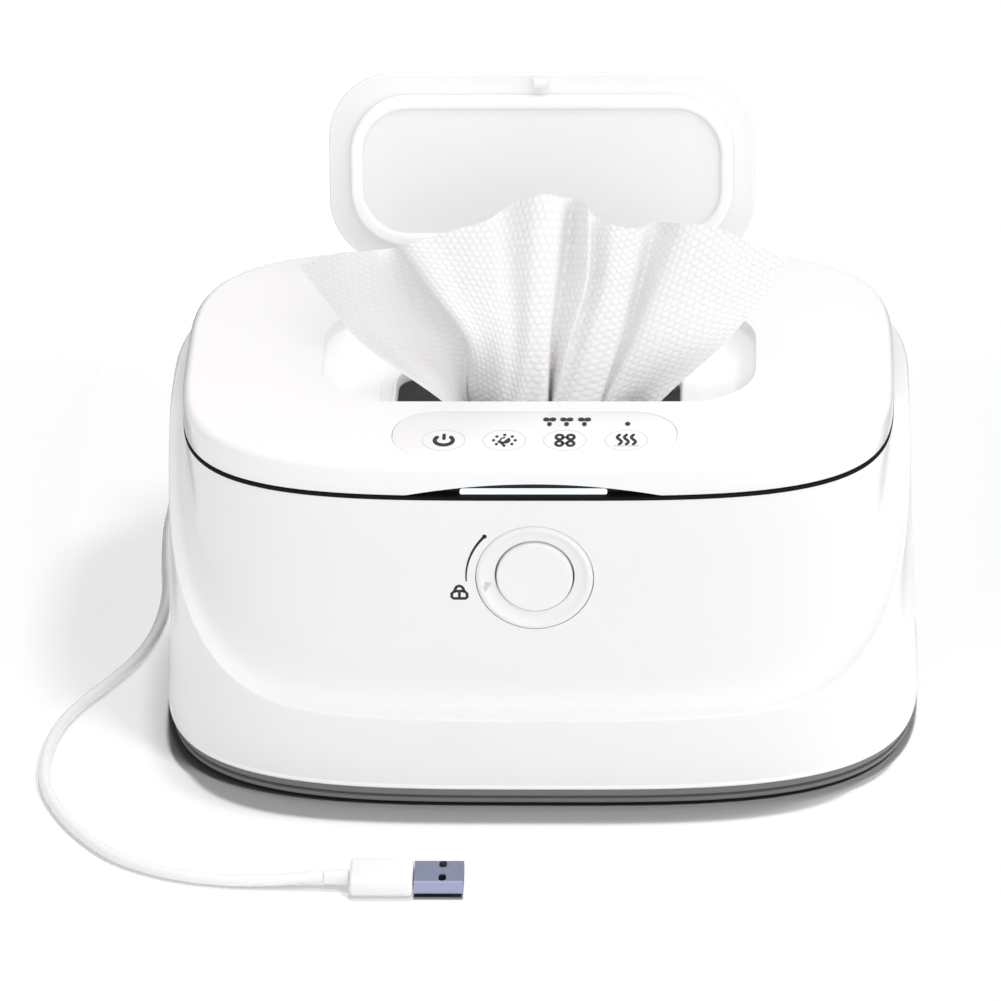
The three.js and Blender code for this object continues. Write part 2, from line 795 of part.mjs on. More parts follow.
function controlBoard() {
  const high = boardLow + boardThickness;
  const sink = boardThickness / 2;
  const corner = standoffRadius;
  const chip = (x, y, width, depth) => block(
    [controlBoardX + x - width / 2, y - depth / 2, high - sink],
    [controlBoardX + x + width / 2, y + depth / 2, high + chipHeight],
  );
  const eighth = controlBoardWidth / 8;
  return join(
    slab(controlBoardWidth, controlBoardDepth, corner, boardLow, high, controlBoardX, 0),
    chip(-eighth, eighth, 1.2 * eighth, eighth),
    chip(eighth, -eighth, eighth, 0.6 * eighth),
    chip(-2 * eighth, -eighth, eighth, eighth),
    rodAlongZ(inductorRadius, high - sink, high + inductorHeight, controlBoardX + 2 * eighth, eighth),
  );
}

// Lid.

const lidRing = (inset, z) => outlineRing(core, inset, z);
const recessCentreY = (recessBack + recessFront) / 2;
const slotCentreY = (slotBack + slotFront) / 2;
const panelCentreY = (panelFront + panelBack) / 2;
const slotWindowGrow = 2 * slotFrameLip + 2 * clearance;

// The recess as a solid: its floor is smaller than its mouth, and it can be grown by a wall.
function recessSolid(grow, floorDrop, roof) {
  const corner = recessCorner + grow;
  const low = recessFloor - floorDrop;
  const high = lidTop - doorThickness;
  const rings = recessRiseShares.map((share, k) => {
    const inset = recessSlope * recessInsetShares[k];
    return roundedRing(
      recessWidth + 2 * (grow - inset),
      recessDepth + 2 * (grow - inset),
      corner - inset,
      low + share * (high - low),
      0,
      recessCentreY,
    );
  });
  rings.push(roundedRing(
    recessWidth + 2 * grow,
    recessDepth + 2 * grow,
    corner,
    roof,
    0,
    recessCentreY,
  ));
  return skin(rings);
}

const doorWidth = recessWidth - 2 * doorGap;
const doorDepth = recessDepth - 2 * doorGap;
const doorCorner = recessCorner - doorGap;
const doorLinerTop = lidTop - doorThickness - clearance;
const catchFront = recessCentreY - doorDepth / 2 + doorCatchInset;
const catchBack = catchFront + doorCatchLip + doorCatchDepth;
const catchLow = doorLinerTop - doorCatchHeight;

// Room in the recess's front wall for the door's hook.
const catchPocket = () => block(
  [-doorCatchWidth / 2 - doorGap, catchFront - doorGap, catchLow - doorGap],
  [doorCatchWidth / 2 + doorGap, catchBack + doorGap, lidTop - doorThickness],
);

const hingePocketWidth = doorTongueWidth + 2 * (doorPinReach + clearance);

function hingePocket(grow, drop, roof) {
  return block(
    [-hingePocketWidth / 2 - grow, recessBack - recessCorner, hingePocketFloor - drop],
    [hingePocketWidth / 2 + grow, hingePocketBack + grow, roof],
  );
}

const archRadius = ((archWidth / 2) ** 2 + archHeight ** 2) / (2 * archHeight);
const archRise = (x) => archHeight - archRadius + Math.sqrt(archRadius ** 2 - x ** 2);
const lightHeight = archRise(lightWidth / 2) - lightRise - clearance;

// Prism under an arc, standing upright, for the arch in the lid's front edge.
function archPrism(low, yFrom, yTo) {
  const half = archWidth / 2;
  const sweep = Math.asin(half / archRadius);
  const shape = new THREE.Shape();
  shape.moveTo(-half, lidBottom - low);
  shape.lineTo(half, lidBottom - low);
  shape.lineTo(half, lidBottom);
  const middle = lidBottom + archHeight - archRadius;
  shape.absarc(0, middle, archRadius, fullTurn / 4 - sweep, fullTurn / 4 + sweep, false);
  shape.lineTo(-half, lidBottom - low);
  const options = { depth: yTo - yFrom, bevelEnabled: false, curveSegments: 2 * cornerSegments };
  return new THREE.ExtrudeGeometry(shape, options)
    .rotateX(fullTurn / 4)
    .translate(0, yTo, 0);
}

const bezelHalf = archWidth / 2 + bezelMargin;
const bezelY = lidWall + clearance - outlineDepth(core, bezelHalf + lidWall);
const lightBoardY = bezelY + bezelDepth + clearance;
const lightLow = lidBottom + lightRise;

// Knuckle of the lid's hinge: a barrel and the arm that carries it.
function lidKnuckle(centreX) {
  const low = centreX - knuckleWidth / 2;
  const high = centreX + knuckleWidth / 2;
  const armLow = lidHingeZ + lidPinRadius;
  const wallY = outlineDepth(core, Math.abs(centreX) + knuckleWidth / 2) - lidWall / 2;
  const arm = block([low, wallY, armLow], [high, lidHingeY, lidHingeZ + lidBarrelRadius]);
  const inside = skin([lidRing(lidWall / 2, tubFlangeTop), lidRing(lidWall / 2, lidTop)]);
  return join(rodAlongX(lidBarrelRadius, low, high, lidHingeY, lidHingeZ), cut(arm, inside));
}

function lidShell() {
  const edge = lidEdgeShares.map((share) => lidRing(
    lidEdgeInset * (1 - Math.sqrt(1 - share * share)),
    lidTop - lidEdgeHeight * (1 - share),
  ));
  const outside = skin([lidRing(0, lidBottom), lidRing(0, lidTop - lidEdgeHeight), ...edge]);
  const cavity = skin([
    lidRing(lidWall, lidBottom - overrun),
    lidRing(lidWall, lidTop - lidWall - lidEdgeHeight / 2),
    lidRing(lidWall + lidEdgeHeight / 2, lidTop - lidWall),
  ]);
  const bowls = join(
    recessSolid(recessWall, recessWall, lidTop),
    hingePocket(recessWall, recessWall, lidTop),
  );
  const under = cut(overlap(outside, cavity), bowls);
  const inside = skin([lidRing(lidWall, tubFlangeTop), lidRing(lidWall, lidTop - lidWall / 2)]);
  const bowlDrop = overlap(bowls, inside);
  const shell = join(cut(outside, under), bowlDrop, ...lidHingeSides().map(lidKnuckle));
  const pinHalf = knuckleWidth / 2 + overrun;
  const doorPinHalf = doorTongueWidth / 2 + doorPinReach;
  return cut(
    shell,
    recessSolid(0, 0, lidTop + overrun),
    hingePocket(0, 0, lidTop + overrun),
    catchPocket(),
    slab(
      slotWidth + slotWindowGrow,
      slotDepth + slotWindowGrow,
      slotCorner + slotFrameLip,
      recessFloor - recessWall - overrun,
      recessFloor + overrun,
      0,
      slotCentreY,
    ),
    slab(
      panelWidth + 2 * clearance,
      panelDepth + 2 * clearance,
      panelCorner,
      lidTop - overlayThickness - clearance,
      lidTop + overrun,
      0,
      panelCentreY,
    ),
    archPrism(overrun, lidFront - overrun, lidFront + lidWall + clearance),
    rodAlongX(
      doorPinRadius + clearance,
      -doorPinHalf - recessWall / 2,
      doorPinHalf + recessWall / 2,
      doorPivotY,
      doorPivotZ,
    ),
    ...lidHingeSides().map((x) => rodAlongX(pinHoleRadius, x - pinHalf, x + pinHalf, lidHingeY, lidHingeZ)),
  );
}

const linerLow = lidBottom + linerGap;
const linerHigh = linerLow + linerThickness;

// Inner skin of the lid: a plate with a window round the recess and a rib round its edge.
function lidLiner() {
  const plate = skin([
    lidRing(lidWall + clearance, linerLow),
    lidRing(lidWall + clearance, linerHigh + linerRibHeight),
    lidRing(lidWall + clearance + linerThickness, linerHigh + linerRibHeight),
    lidRing(lidWall + clearance + linerThickness, linerHigh),
  ]);
  return cut(
    plate,
    recessSolid(recessWall + clearance, recessWall + overrun, lidTop),
    hingePocket(recessWall + clearance, recessWall + clearance, lidTop),
    block(
      [-bezelHalf - clearance, lidFront, linerLow - overrun],
      [bezelHalf + clearance, lightBoardY + lightBoardDepth + clearance, lidTop],
    ),
  );
}

function slotFrame() {
  const width = slotWidth + 2 * slotFrameLip;
  const depth = slotDepth + 2 * slotFrameLip;
  const low = recessFloor - recessWall;
  const high = recessFloor + slotFrameThickness;
  const ring = (grow, z) => roundedRing(
    slotWidth + 2 * grow,
    slotDepth + 2 * grow,
    slotCorner + grow,
    z,
    0,
    slotCentreY,
  );
  return skin([
    roundedRing(width, depth, slotCorner + slotFrameLip, low, 0, slotCentreY),
    roundedRing(width, depth, slotCorner + slotFrameLip, recessFloor, 0, slotCentreY),
    ring(slotFrameLip * slotLipShare, high),
    ring(0, recessFloor),
    ring(0, low),
  ], true);
}

function panelOverlay() {
  return slab(
    panelWidth,
    panelDepth,
    panelCorner - clearance,
    lidTop - overlayThickness,
    lidTop,
    0,
    panelCentreY,
  );
}

const boardTop = lidTop - lidWall - clearance;

function touchBoard() {
  return slab(
    panelWidth - 2 * boardMargin,
    panelDepth - 2 * boardMargin,
    panelCorner - boardMargin,
    boardTop - boardThickness,
    boardTop,
    0,
    panelCentreY,
  );
}

const lightShape = (grow, yFrom, yTo) => block(
  [-lightWidth / 2 - grow, yFrom, lightLow - grow],
  [lightWidth / 2 + grow, yTo, lightLow + lightHeight + grow],
);

const lightBezel = () => cut(
  block(
    [-bezelHalf, bezelY, linerLow],
    [bezelHalf, bezelY + bezelDepth, lidBottom + archHeight + bezelMargin],
  ),
  lightShape(clearance, bezelY - overrun, bezelY + bezelDepth + overrun),
);
const lightBar = () => lightShape(0, bezelY - lightReach, bezelY + bezelDepth);
const lightBoard = () => lightShape(0, lightBoardY, lightBoardY + lightBoardDepth);

// Tongue under the lid that the latch holds.
function lidHook() {
  const low = hookY - hookThickness / 2;
  const high = hookY + hookThickness / 2;
  const top = linerLow - clearance;
  const footHeight = hookThickness;
  const tongue = join(
    block([-hookWidth / 2, low, hookBottom], [hookWidth / 2, high, top]),
    block([-hookWidth / 2, low, top - footHeight], [hookWidth / 2, high + 2 * hookThickness, top]),
  );
  const windowHalf = hookWidth / 2 - hookThickness;
  return cut(tongue, block(
    [-windowHalf, low - overrun, hookBottom + hookThickness],
    [windowHalf, high + overrun, hookBottom + hookThickness + latchNoseHeight],
  ));
}

const lidHingePin = (centreX) => {
  const half = knuckleWidth / 2 + clearance + earWidth;
  return rodAlongX(lidPinRadius, centreX - half, centreX + half, lidHingeY, lidHingeZ);
};

// Front knob, built along Y; depth is counted inwards from the ring's face.
const knobFaceY = panelFaceY - ringProud;
const knobPlace = (depth) => knobFaceY + depth;
const knobTurned = (profile) => (
  revolveAlongY(profile.map(([radius, depth]) => [radius, knobPlace(depth)]), 0, knobHeight)
);

function lockRing() {
  const band = ringRadius - ringBore;
  return knobTurned([
    [ringBore, ringDepth],
    [ringBore, ringDish],
    [ringBore + band / 3, ringDish],
    [ringRadius - band / 4, ringDish / 4],
    [ringRadius - ringDish, 0],
    [ringRadius, ringDish],
    [ringRadius, ringDepth],
    [ringBore, ringDepth],
  ]);
}

function releaseButton() {
  return knobTurned([
    [0, buttonDish],
    [buttonRadius / 2, buttonDish * (1 - dishShare)],
    [buttonRadius - 2 * buttonDish, 0],
    [buttonRadius, 2 * buttonDish],
    [buttonRadius, buttonDepth],
    [stemRadius, buttonDepth],
    [stemRadius, collarDepth + buttonTravel],
    [0, collarDepth + buttonTravel],
  ]);
}

// Collar behind the panel: carries the ring, guides the button's stem.
function knobCollar() {
  const seat = ringDepth + clearance;
  const panelLean = (collarRadius * coreFootInset) / (housingTop - housingBottom);
  const flange = panelBackY - knobFaceY + clearance + panelLean;
  const bore = buttonRadius + 2 * clearance + ringDish;
  return knobTurned([
    [stemRadius + clearance, collarDepth],
    [stemRadius + clearance, collarDepth - collarWall],
    [bore, collarDepth - collarWall],
    [bore, seat],
    [ringRadius + 2 * clearance, seat],
    [ringRadius + 2 * clearance, flange],
    [collarRadius, flange],
    [collarRadius, seat + collarWall],
    [bore + collarWall, seat + collarWall],
    [bore + collarWall, collarDepth],
    [stemRadius + clearance, collarDepth],
  ]);
}

// Coil spring on the button's stem, as one round wire on a helix.
function buttonSpring() {
  const from = buttonDepth + clearance + springWire / 2;
  const to = collarDepth - collarWall - clearance - springWire / 2;
  const steps = springTurns * springStepsPerTurn;
  const points = [];
  for (let k = 0; k <= steps; k += 1) {
    const angle = (k / springStepsPerTurn) * fullTurn;
    const share = k / steps;
    points.push(new THREE.Vector3(
      springRadius * Math.cos(angle),
      knobPlace(from + (to - from) * share),
      knobHeight + springRadius * Math.sin(angle),
    ));
  }
  return wire(points, springWire / 2, springSides, steps);
}

// Latch plate behind the stem with a nose that faces the lid's tongue.
function latchSlider() {
  const low = knobPlace(collarDepth + buttonTravel) + clearance;
  const high = low + latchThickness;
  const noseLow = hookBottom + hookThickness + clearance;
  return join(
    block([-latchWidth / 2, low, knobHeight - 2 * stemRadius], [latchWidth / 2, high, latchTop]),
    block(
      [-hookWidth / 4, hookY + hookThickness / 2 + clearance, noseLow],
      [hookWidth / 4, high, noseLow + latchNoseHeight - 2 * clearance],
    ),
  );
}

// Round wire or lead along a list of points.
function wire(points, radius, sides, steps) {
  const section = new THREE.Shape();
  for (let k = 0; k < sides; k += 1) {
    const angle = (k * fullTurn) / sides;
    const place = [radius * Math.cos(angle), radius * Math.sin(angle)];
    if (k === 0) section.moveTo(...place);
    else section.lineTo(...place);
  }
  section.closePath();
  return new THREE.ExtrudeGeometry(section, {
    steps,
    bevelEnabled: false,
    extrudePath: new THREE.CatmullRomCurve3(points, false, 'centripetal'),
  });
}

// Flip door, drawn closed; its group turns it open about the pivot.
const doorRing = (inset, z) => roundedRing(
  doorWidth - 2 * inset,
  doorDepth - 2 * inset,
  doorCorner - inset,
  z,
  0,
  recessCentreY,
);

function flipDoor() {
  const low = lidTop - doorThickness;
  const plate = skin([
    doorRing(doorEdge / 2, low),
    doorRing(0, low + doorEdge / 2),
    doorRing(0, lidTop - doorEdge),
    doorRing(doorEdge / 3, lidTop - doorEdge / 3),
    doorRing(doorEdge, lidTop),
  ]);
  const tongueTop = doorPivotZ + doorBarrelRadius;
  const tongue = block(
    [-doorTongueWidth / 2, recessBack - doorFlange, tongueTop - doorThickness],
    [doorTongueWidth / 2, doorPivotY, tongueTop],
  );
  const alongPivot = (radius, half) => rodAlongX(radius, -half, half, doorPivotY, doorPivotZ);
  const barrel = alongPivot(doorBarrelRadius, doorTongueWidth / 2);
  const pinHole = alongPivot(doorPinRadius + doorPinClearance, doorTongueWidth / 2 + overrun);
  return cut(join(plate, tongue, barrel), pinHole);
}

function doorLiner() {
  const inset = doorFlange + doorRimWidth + clearance;
  return skin([
    doorRing(inset + doorEdge, doorLinerTop - doorPanelDepth),
    doorRing(inset, doorLinerTop - doorPanelDepth + doorEdge),
    doorRing(inset, doorLinerTop),
  ]);
}

function doorSeal() {
  const low = doorLinerTop - doorRimHeight;
  const ring = (inset, z) => doorRing(doorFlange + inset, z);
  return skin([
    ring(0, doorLinerTop),
    ring(0, low + doorEdge),
    ring(doorEdge, low),
    ring(doorRimWidth - doorEdge, low),
    ring(doorRimWidth, low + doorEdge),
    ring(doorRimWidth, doorLinerTop),
  ], true);
}

// Small hook on the door's free edge, between the edge and the rim.
function doorCatch() {
  const half = doorCatchWidth / 2;
  const lipTop = catchLow + doorCatchLip;
  return join(
    block([-half, catchFront + doorCatchLip, catchLow], [half, catchBack, doorLinerTop]),
    block([-half, catchFront, catchLow], [half, catchBack, lipTop]),
  );
}

const doorPin = () => {
  const half = doorTongueWidth / 2 + doorPinReach;
  return rodAlongX(doorPinRadius, -half, half, doorPivotY, doorPivotZ);
};

// Lead.

const coilLow = cordDiameter / 2 + tieThickness + 2 * clearance;
const coilHigh = coilLow + layerRise;
const reliefTipY = exitPadY + clearance + reliefLength;

function cableRelief() {
  const seat = exitPadY + clearance;
  const inside = reliefSeatY - clearance;
  return revolveAlongY([
    [0, inside - reliefFlangeDepth],
    [reliefFlange, inside - reliefFlangeDepth],
    [reliefFlange, inside],
    [reliefNeck, inside],
    [reliefNeck, seat],
    [reliefFlange, seat],
    [reliefFlange, seat + reliefFlangeDepth],
    [reliefNeck, seat + 2 * reliefFlangeDepth],
    [reliefTipRadius, reliefTipY],
    [0, reliefTipY],
  ], exitX, exitHeight);
}

// Route from the strain relief down to the coil, chosen by hand.
const leadRoute = [
  [exitX, reliefTipY + clearance, exitHeight],
  [exitX, reliefTipY + clearance + cordDiameter, exitHeight],
  [-62.5, 108, 16.6],
  [-62.5, 114, 13.2],
  [-62.5, 120, 9.1],
  [-62.5, 126, 5.7],
  [-62.5, 132, 3.6],
  [exitX, coilCentreY - clearance - cordDiameter, coilLow],
  [exitX, coilCentreY - clearance, coilLow],
];

// Route from the coil along the left side to the plug, chosen by hand.
const tailRoute = [
  [coilCentreX - coilOuterRadius, coilCentreY - clearance, coilHigh],
  [coilCentreX - coilOuterRadius, coilCentreY - clearance - cordDiameter, coilHigh],
  [-115.3, 130, 5.9],
  [-115.5, 121, 3.5],
  [-116, 111, 1.9],
  [-116.6, 98, 1.75],
  [-117.1, 84, 1.75],
  [-116.3, 65, 1.75],
  [-115, 46, 1.75],
  [-116.5, 24, 1.75],
  [-121.4, 6, 1.75],
  [-129, -9, 1.75],
  [-136.5, -22, 1.75],
  [-141.6, -35, 1.75],
  [-144, -50, 1.75],
  [-143.2, -67, 1.75],
  [-138.6, -81, 1.75],
  [-130.8, -95, 1.75],
  [-120, -107.6, 1.75],
  [-105, -116.4, 1.75],
  [-88, -120.6, 1.8],
  [-74, -121.4, 2.3],
  [plugBodyX - plugReliefLength - 2 * clearance - cordDiameter, plugY, plugHeight / 2],
  [plugBodyX - plugReliefLength - 2 * clearance, plugY, plugHeight / 2],
];

const vectors = (points) => points.map((point) => new THREE.Vector3(...point));
const lengthOf = (points) => new THREE.CatmullRomCurve3(points, false, 'centripetal').getLength();

function freeCord(points) {
  const steps = Math.ceil(lengthOf(points) / (cordStepShare * cordDiameter));
  return wire(points, cordDiameter / 2, cordSides, steps);
}

// Spirals in on the lower layer, climbs in the half turn where it turns back, and spirals out on top.
function coilPoints() {
  const innerRadius = coilOuterRadius - coilPitch * layerTurns;
  const points = [];
  const total = (2 * layerTurns + climbShare) * coilStepsPerTurn;
  for (let k = 0; k <= total; k += 1) {
    const turns = k / coilStepsPerTurn;
    const climb = Math.min(Math.max((turns - layerTurns) / climbShare, 0), 1);
    const rise = (1 - Math.cos(climb * Math.PI)) / 2;
    const inward = Math.min(turns, layerTurns);
    const outward = Math.max(turns - layerTurns - climbShare, 0);
    const radius = climb > 0 && climb < 1
      ? innerRadius - climbDip * Math.sin(climb * Math.PI)
      : coilOuterRadius - coilPitch * (inward - outward);
    points.push(new THREE.Vector3(
      coilCentreX + radius * Math.cos(turns * fullTurn),
      coilCentreY + radius * Math.sin(turns * fullTurn),
      coilLow + layerRise * rise,
    ));
  }
  return points;
}

// Least gap of a wound tube to itself, between points at least half a turn apart.
function leastGap(points, apart, diameter) {
  let least = Infinity;
  points.forEach((point, k) => {
    for (let other = k + apart; other < points.length; other += 1) {
      least = Math.min(least, point.distanceTo(points[other]) - diameter);
    }
  });
  return least;
}

// Band round the coil's strands, on the side away from the warmer.
function coilTie() {
  const strand = cordDiameter / 2 + clearance;
  const near = coilOuterRadius - coilPitch * layerTurns - climbDip - strand - clearance;
  const far = coilOuterRadius + strand;
  const low = coilLow - strand;
  const high = coilHigh + strand;
  const centre = [(near + far) / 2, (low + high) / 2];
  const band = (grow) => skin([-1, 1].map((side) => (
    roundedRing(far - near + 2 * grow, high - low + 2 * grow, tieCorner + grow, 0, ...centre)
      .map(([y, z]) => [(side * (tieWidth + (grow ? 0 : overrun))) / 2 + coilCentreX, coilCentreY + y, z])
  )));
  return cut(band(tieThickness), band(0));
}

const alongX = (width, height, radius, x) => (
  roundedRing(width, height, radius, 0, plugY, plugHeight / 2).map(([y, z]) => [x, y, z])
);

function plugRelief() {
  const from = plugBodyX - clearance - plugReliefLength;
  const to = plugBodyX - clearance;
  const wide = 2 * plugReliefRadius;
  const corner = plugReliefRadius - clearance;
  const waist = wide - 2 * clearance;
  return skin([
    alongX(waist, waist, corner - clearance, from),
    alongX(wide, wide, corner, to),
  ]);
}

function plugBody() {
  const end = plugBodyX + plugLength;
  const ring = (inset, x) => alongX(plugWidth - 2 * inset, plugHeight - 2 * inset, plugCorner - inset, x);
  return skin([
    ring(plugEdge, plugBodyX),
    ring(plugEdge / 3, plugBodyX + plugEdge / 3),
    ring(0, plugBodyX + plugEdge),
    ring(0, end - plugEdge),
    ring(plugEdge / 3, end - plugEdge / 3),
    ring(plugEdge, end),
  ]);
}

const shellFrom = plugBodyX + plugLength + clearance;

function plugShell() {
  const to = shellFrom + shellLength;
  const middle = plugHeight / 2;
  const half = (size) => size / 2;
  const outside = block(
    [shellFrom, plugY - half(shellWidth), middle - half(shellHeight)],
    [to, plugY + half(shellWidth), middle + half(shellHeight)],
  );
  const inside = block(
    [shellFrom + shellWall, plugY - half(shellWidth) + shellWall, middle - half(shellHeight) + shellWall],
    [to + overrun, plugY + half(shellWidth) - shellWall, middle + half(shellHeight) - shellWall],
  );
  const holes = [-1, 1].map((side) => {
    const y = plugY + (side * shellWidth) / 4;
    const x = shellFrom + shellLength / 2;
    return block(
      [x - half(shellHole), y - half(shellHole), 0],
      [x + half(shellHole), y + half(shellHole), plugHeight],
    );
  });
  return cut(outside, inside, ...holes);
}

function plugTongue() {
  const middle = plugHeight / 2;
  const low = middle - shellHeight / 2 + shellWall + clearance;
  const half = shellWidth / 2 - shellWall - clearance;
  return block(
    [shellFrom + shellWall + clearance, plugY - half, low],
    [shellFrom + shellLength - shellWall, plugY + half, middle],
  );
}

const slotTop = recessFloor + slotFrameThickness + clearance;

// Wipe: a folded sheet that rises through the slot, fans out and leans back.
function wipePoint(across, along) {
  const edge = wipePeak - (wipePeak - wipeShoulder) * Math.abs(across) ** wipeArchShare;
  const z = wipeTail + (edge - wipeTail) * along;
  const above = Math.max((z - slotTop) / (edge - slotTop), 0);
  const below = Math.max((recessFloor - recessWall - z) / (recessFloor - recessWall - wipeTail), 0);
  const spread = Math.sin((above * Math.PI) / 2);
  const half = (wipeSlotWidth + (wipeTopWidth - wipeSlotWidth) * spread
    - wipeTailTaper * below) / 2;
  const fold = wipeSlotFold + (wipeFoldDepth - wipeSlotFold) * above;
  const rest = slotFront + clearance + wipeThickness / 2 + wipeSlotFold;
  const y = rest + wipeLean * above + fold * Math.cos(across * wipeFoldTurnsShare * Math.PI);
  return new THREE.Vector3(half * across, y, z);
}

// Sheet with a thickness, from a function of two shares.
function sheetSolid(placeAt, across, along, thickness) {
  const step = slopeStepShare;
  const side = (sign) => {
    const rows = [];
    for (let row = 0; row <= along; row += 1) {
      const line = [];
      for (let column = 0; column <= across; column += 1) {
        const u = (2 * column) / across - 1;
        const v = row / along;
        const right = placeAt(u + step, v).sub(placeAt(u - step, v));
        const up = placeAt(u, v + step).sub(placeAt(u, v - step));
        const normal = right.cross(up).normalize();
        line.push(placeAt(u, v).addScaledVector(normal, (sign * thickness) / 2).toArray());
      }
      rows.push(line);
    }
    return rows;
  };
  const front = side(1);
  const back = side(-1);
  const rings = front.map((line, row) => [...line, ...back[row].toReversed()]);
  const count = rings[0].length;
  const faces = [];
  for (let row = 0; row < along; row += 1) {
    for (let k = 0; k < count; k += 1) {
      const next = (k + 1) % count;
      const low = row * count;
      const high = low + count;
      faces.push(low + k, low + next, high + next, low + k, high + next, high + k);
    }
  }
  const last = along * count;
  for (let k = 0; k < across; k += 1) {
    const mirror = count - 1 - k;
    faces.push(k, mirror, mirror - 1, k, mirror - 1, k + 1);
    faces.push(last + k, last + mirror - 1, last + mirror, last + k, last + k + 1, last + mirror - 1);
  }
  const geometry = new THREE.BufferGeometry();
  geometry.setAttribute('position', new THREE.Float32BufferAttribute(rings.flat(2), 3));
  geometry.setIndex(faces);
  return geometry;
}

// Assembly.

const warmer = new THREE.Group();
const doorGroup = new THREE.Group();
doorGroup.position.set(0, doorPivotY, doorPivotZ);
doorGroup.rotation.x = -doorOpenDegrees * degrees;
warmer.add(doorGroup);

function place(name, geometry, material, parent = warmer) {
  const mesh = new THREE.Mesh(tidy(geometry), material);
  mesh.name = name;
  parent.add(mesh);
}

const placeOnDoor = (name, geometry, material) => (
  place(name, geometry.clone().translate(0, -doorPivotY, -doorPivotZ), material, doorGroup)
);

place('base_plate', basePlate(), materials.dark);
corners(footSpacingX, footSpacingY).forEach(([x, y], k) => (
  place(`foot_${k + 1}`, foot(x, y), materials.rubber)
));
bossPlaces.forEach(([x, y], k) => (
  place(`base_screw_${k + 1}`, baseScrew(x, y), materials.steel)
));
place('outer_housing', outerHousing(), materials.white);
place('inner_tub', innerTub(), materials.innerWhite);
place('rim_seal', rimSeal(), materials.rubber);
place('heating_plate', heatingPlate(), materials.aluminium);
place('heating_film', heatingFilm(), materials.film);
place('insulation_pad', insulationPad(), materials.foam);
place('temperature_sensor', temperatureSensor(), materials.dark);
place('thermal_fuse', thermalFuse(), materials.steel);
place('control_board', controlBoard(), materials.board);
place('knob_collar', knobCollar(), materials.innerWhite);
place('lock_ring', lockRing(), materials.white);
place('release_button', releaseButton(), materials.white);
place('button_spring', buttonSpring(), materials.steel);
place('latch_slider', latchSlider(), materials.innerWhite);
place('hinge_pin_left', lidHingePin(-lidHingeSpacing / 2), materials.steel);
place('hinge_pin_right', lidHingePin(lidHingeSpacing / 2), materials.steel);

place('lid_shell', lidShell(), materials.white);
place('lid_liner', lidLiner(), materials.innerWhite);
place('slot_frame', slotFrame(), materials.softGrey);
place('panel_overlay', panelOverlay(), materials.panel);
place('touch_board', touchBoard(), materials.board);
place('light_bezel', lightBezel(), materials.dark);
place('light_bar', lightBar(), materials.light);
place('light_board', lightBoard(), materials.board);
place('lid_hook', lidHook(), materials.innerWhite);
place('door_pin', doorPin(), materials.steel);
place('popup_wipe', sheetSolid(wipePoint, wipeColumns, wipeRows, wipeThickness), materials.wipe);

placeOnDoor('flip_door', flipDoor(), materials.white);
placeOnDoor('door_liner', doorLiner(), materials.innerWhite);
placeOnDoor('door_seal', doorSeal(), materials.innerWhite);
placeOnDoor('door_catch', doorCatch(), materials.white);

const windings = coilPoints();
place('cable_relief', cableRelief(), materials.cord);
place('cord_lead', freeCord(vectors(leadRoute)), materials.cord);
place('cord_coil', wire(windings, cordDiameter / 2, coilSides, windings.length - 1), materials.cord);
place('cord_tail', freeCord(vectors(tailRoute)), materials.cord);
place('coil_tie', coilTie(), materials.rubber);
place('plug_relief', plugRelief(), materials.cord);
place('plug_body', plugBody(), materials.cord);
place('plug_shell', plugShell(), materials.steel);
place('plug_tongue', plugTongue(), materials.dark);

const stretches = [vectors(leadRoute), windings, vectors(tailRoute)];
const cordLength = stretches.reduce((sum, points) => sum + lengthOf(points), 0);
const coilGap = leastGap(windings, coilStepsPerTurn / 2, cordDiameter);
console.log(`coil: least gap to itself ${coilGap.toFixed(2)} mm`);
console.log(`lead: ${cordLength.toFixed(0)} mm from the strain relief to the plug`);

export default warmer;
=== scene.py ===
# %% [markdown]
# A baby wipe warmer, rebuilt as a lesson. The warmer is a white tub with a lid, a small door that
# flips up over the slot, a wipe that stands out of it, a touch panel, a knob that opens the lid,
# and a thin lead with a flat plug. Every step below makes one part of it, and says first what the
# part is, how it could be made, and why this way was chosen.

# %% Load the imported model
import json

import bpy
import numpy as np
from mathutils import Matrix

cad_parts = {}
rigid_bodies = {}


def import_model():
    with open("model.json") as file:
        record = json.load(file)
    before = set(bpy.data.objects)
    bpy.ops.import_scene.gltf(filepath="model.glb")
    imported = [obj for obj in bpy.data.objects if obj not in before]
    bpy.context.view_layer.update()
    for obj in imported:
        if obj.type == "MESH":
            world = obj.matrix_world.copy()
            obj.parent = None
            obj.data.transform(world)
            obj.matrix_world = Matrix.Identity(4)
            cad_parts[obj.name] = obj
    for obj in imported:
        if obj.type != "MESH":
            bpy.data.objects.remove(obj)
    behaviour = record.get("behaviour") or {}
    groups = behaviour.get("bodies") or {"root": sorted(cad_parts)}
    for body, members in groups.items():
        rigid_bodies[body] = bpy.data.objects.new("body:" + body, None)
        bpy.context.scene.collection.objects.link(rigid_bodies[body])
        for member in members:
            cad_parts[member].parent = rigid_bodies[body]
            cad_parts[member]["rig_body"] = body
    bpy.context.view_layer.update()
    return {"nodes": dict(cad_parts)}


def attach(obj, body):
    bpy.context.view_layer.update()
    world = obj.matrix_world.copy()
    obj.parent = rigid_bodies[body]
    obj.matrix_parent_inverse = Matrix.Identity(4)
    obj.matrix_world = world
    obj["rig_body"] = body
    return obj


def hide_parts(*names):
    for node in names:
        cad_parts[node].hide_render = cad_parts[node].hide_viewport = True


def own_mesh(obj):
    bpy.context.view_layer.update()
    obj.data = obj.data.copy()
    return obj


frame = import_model()

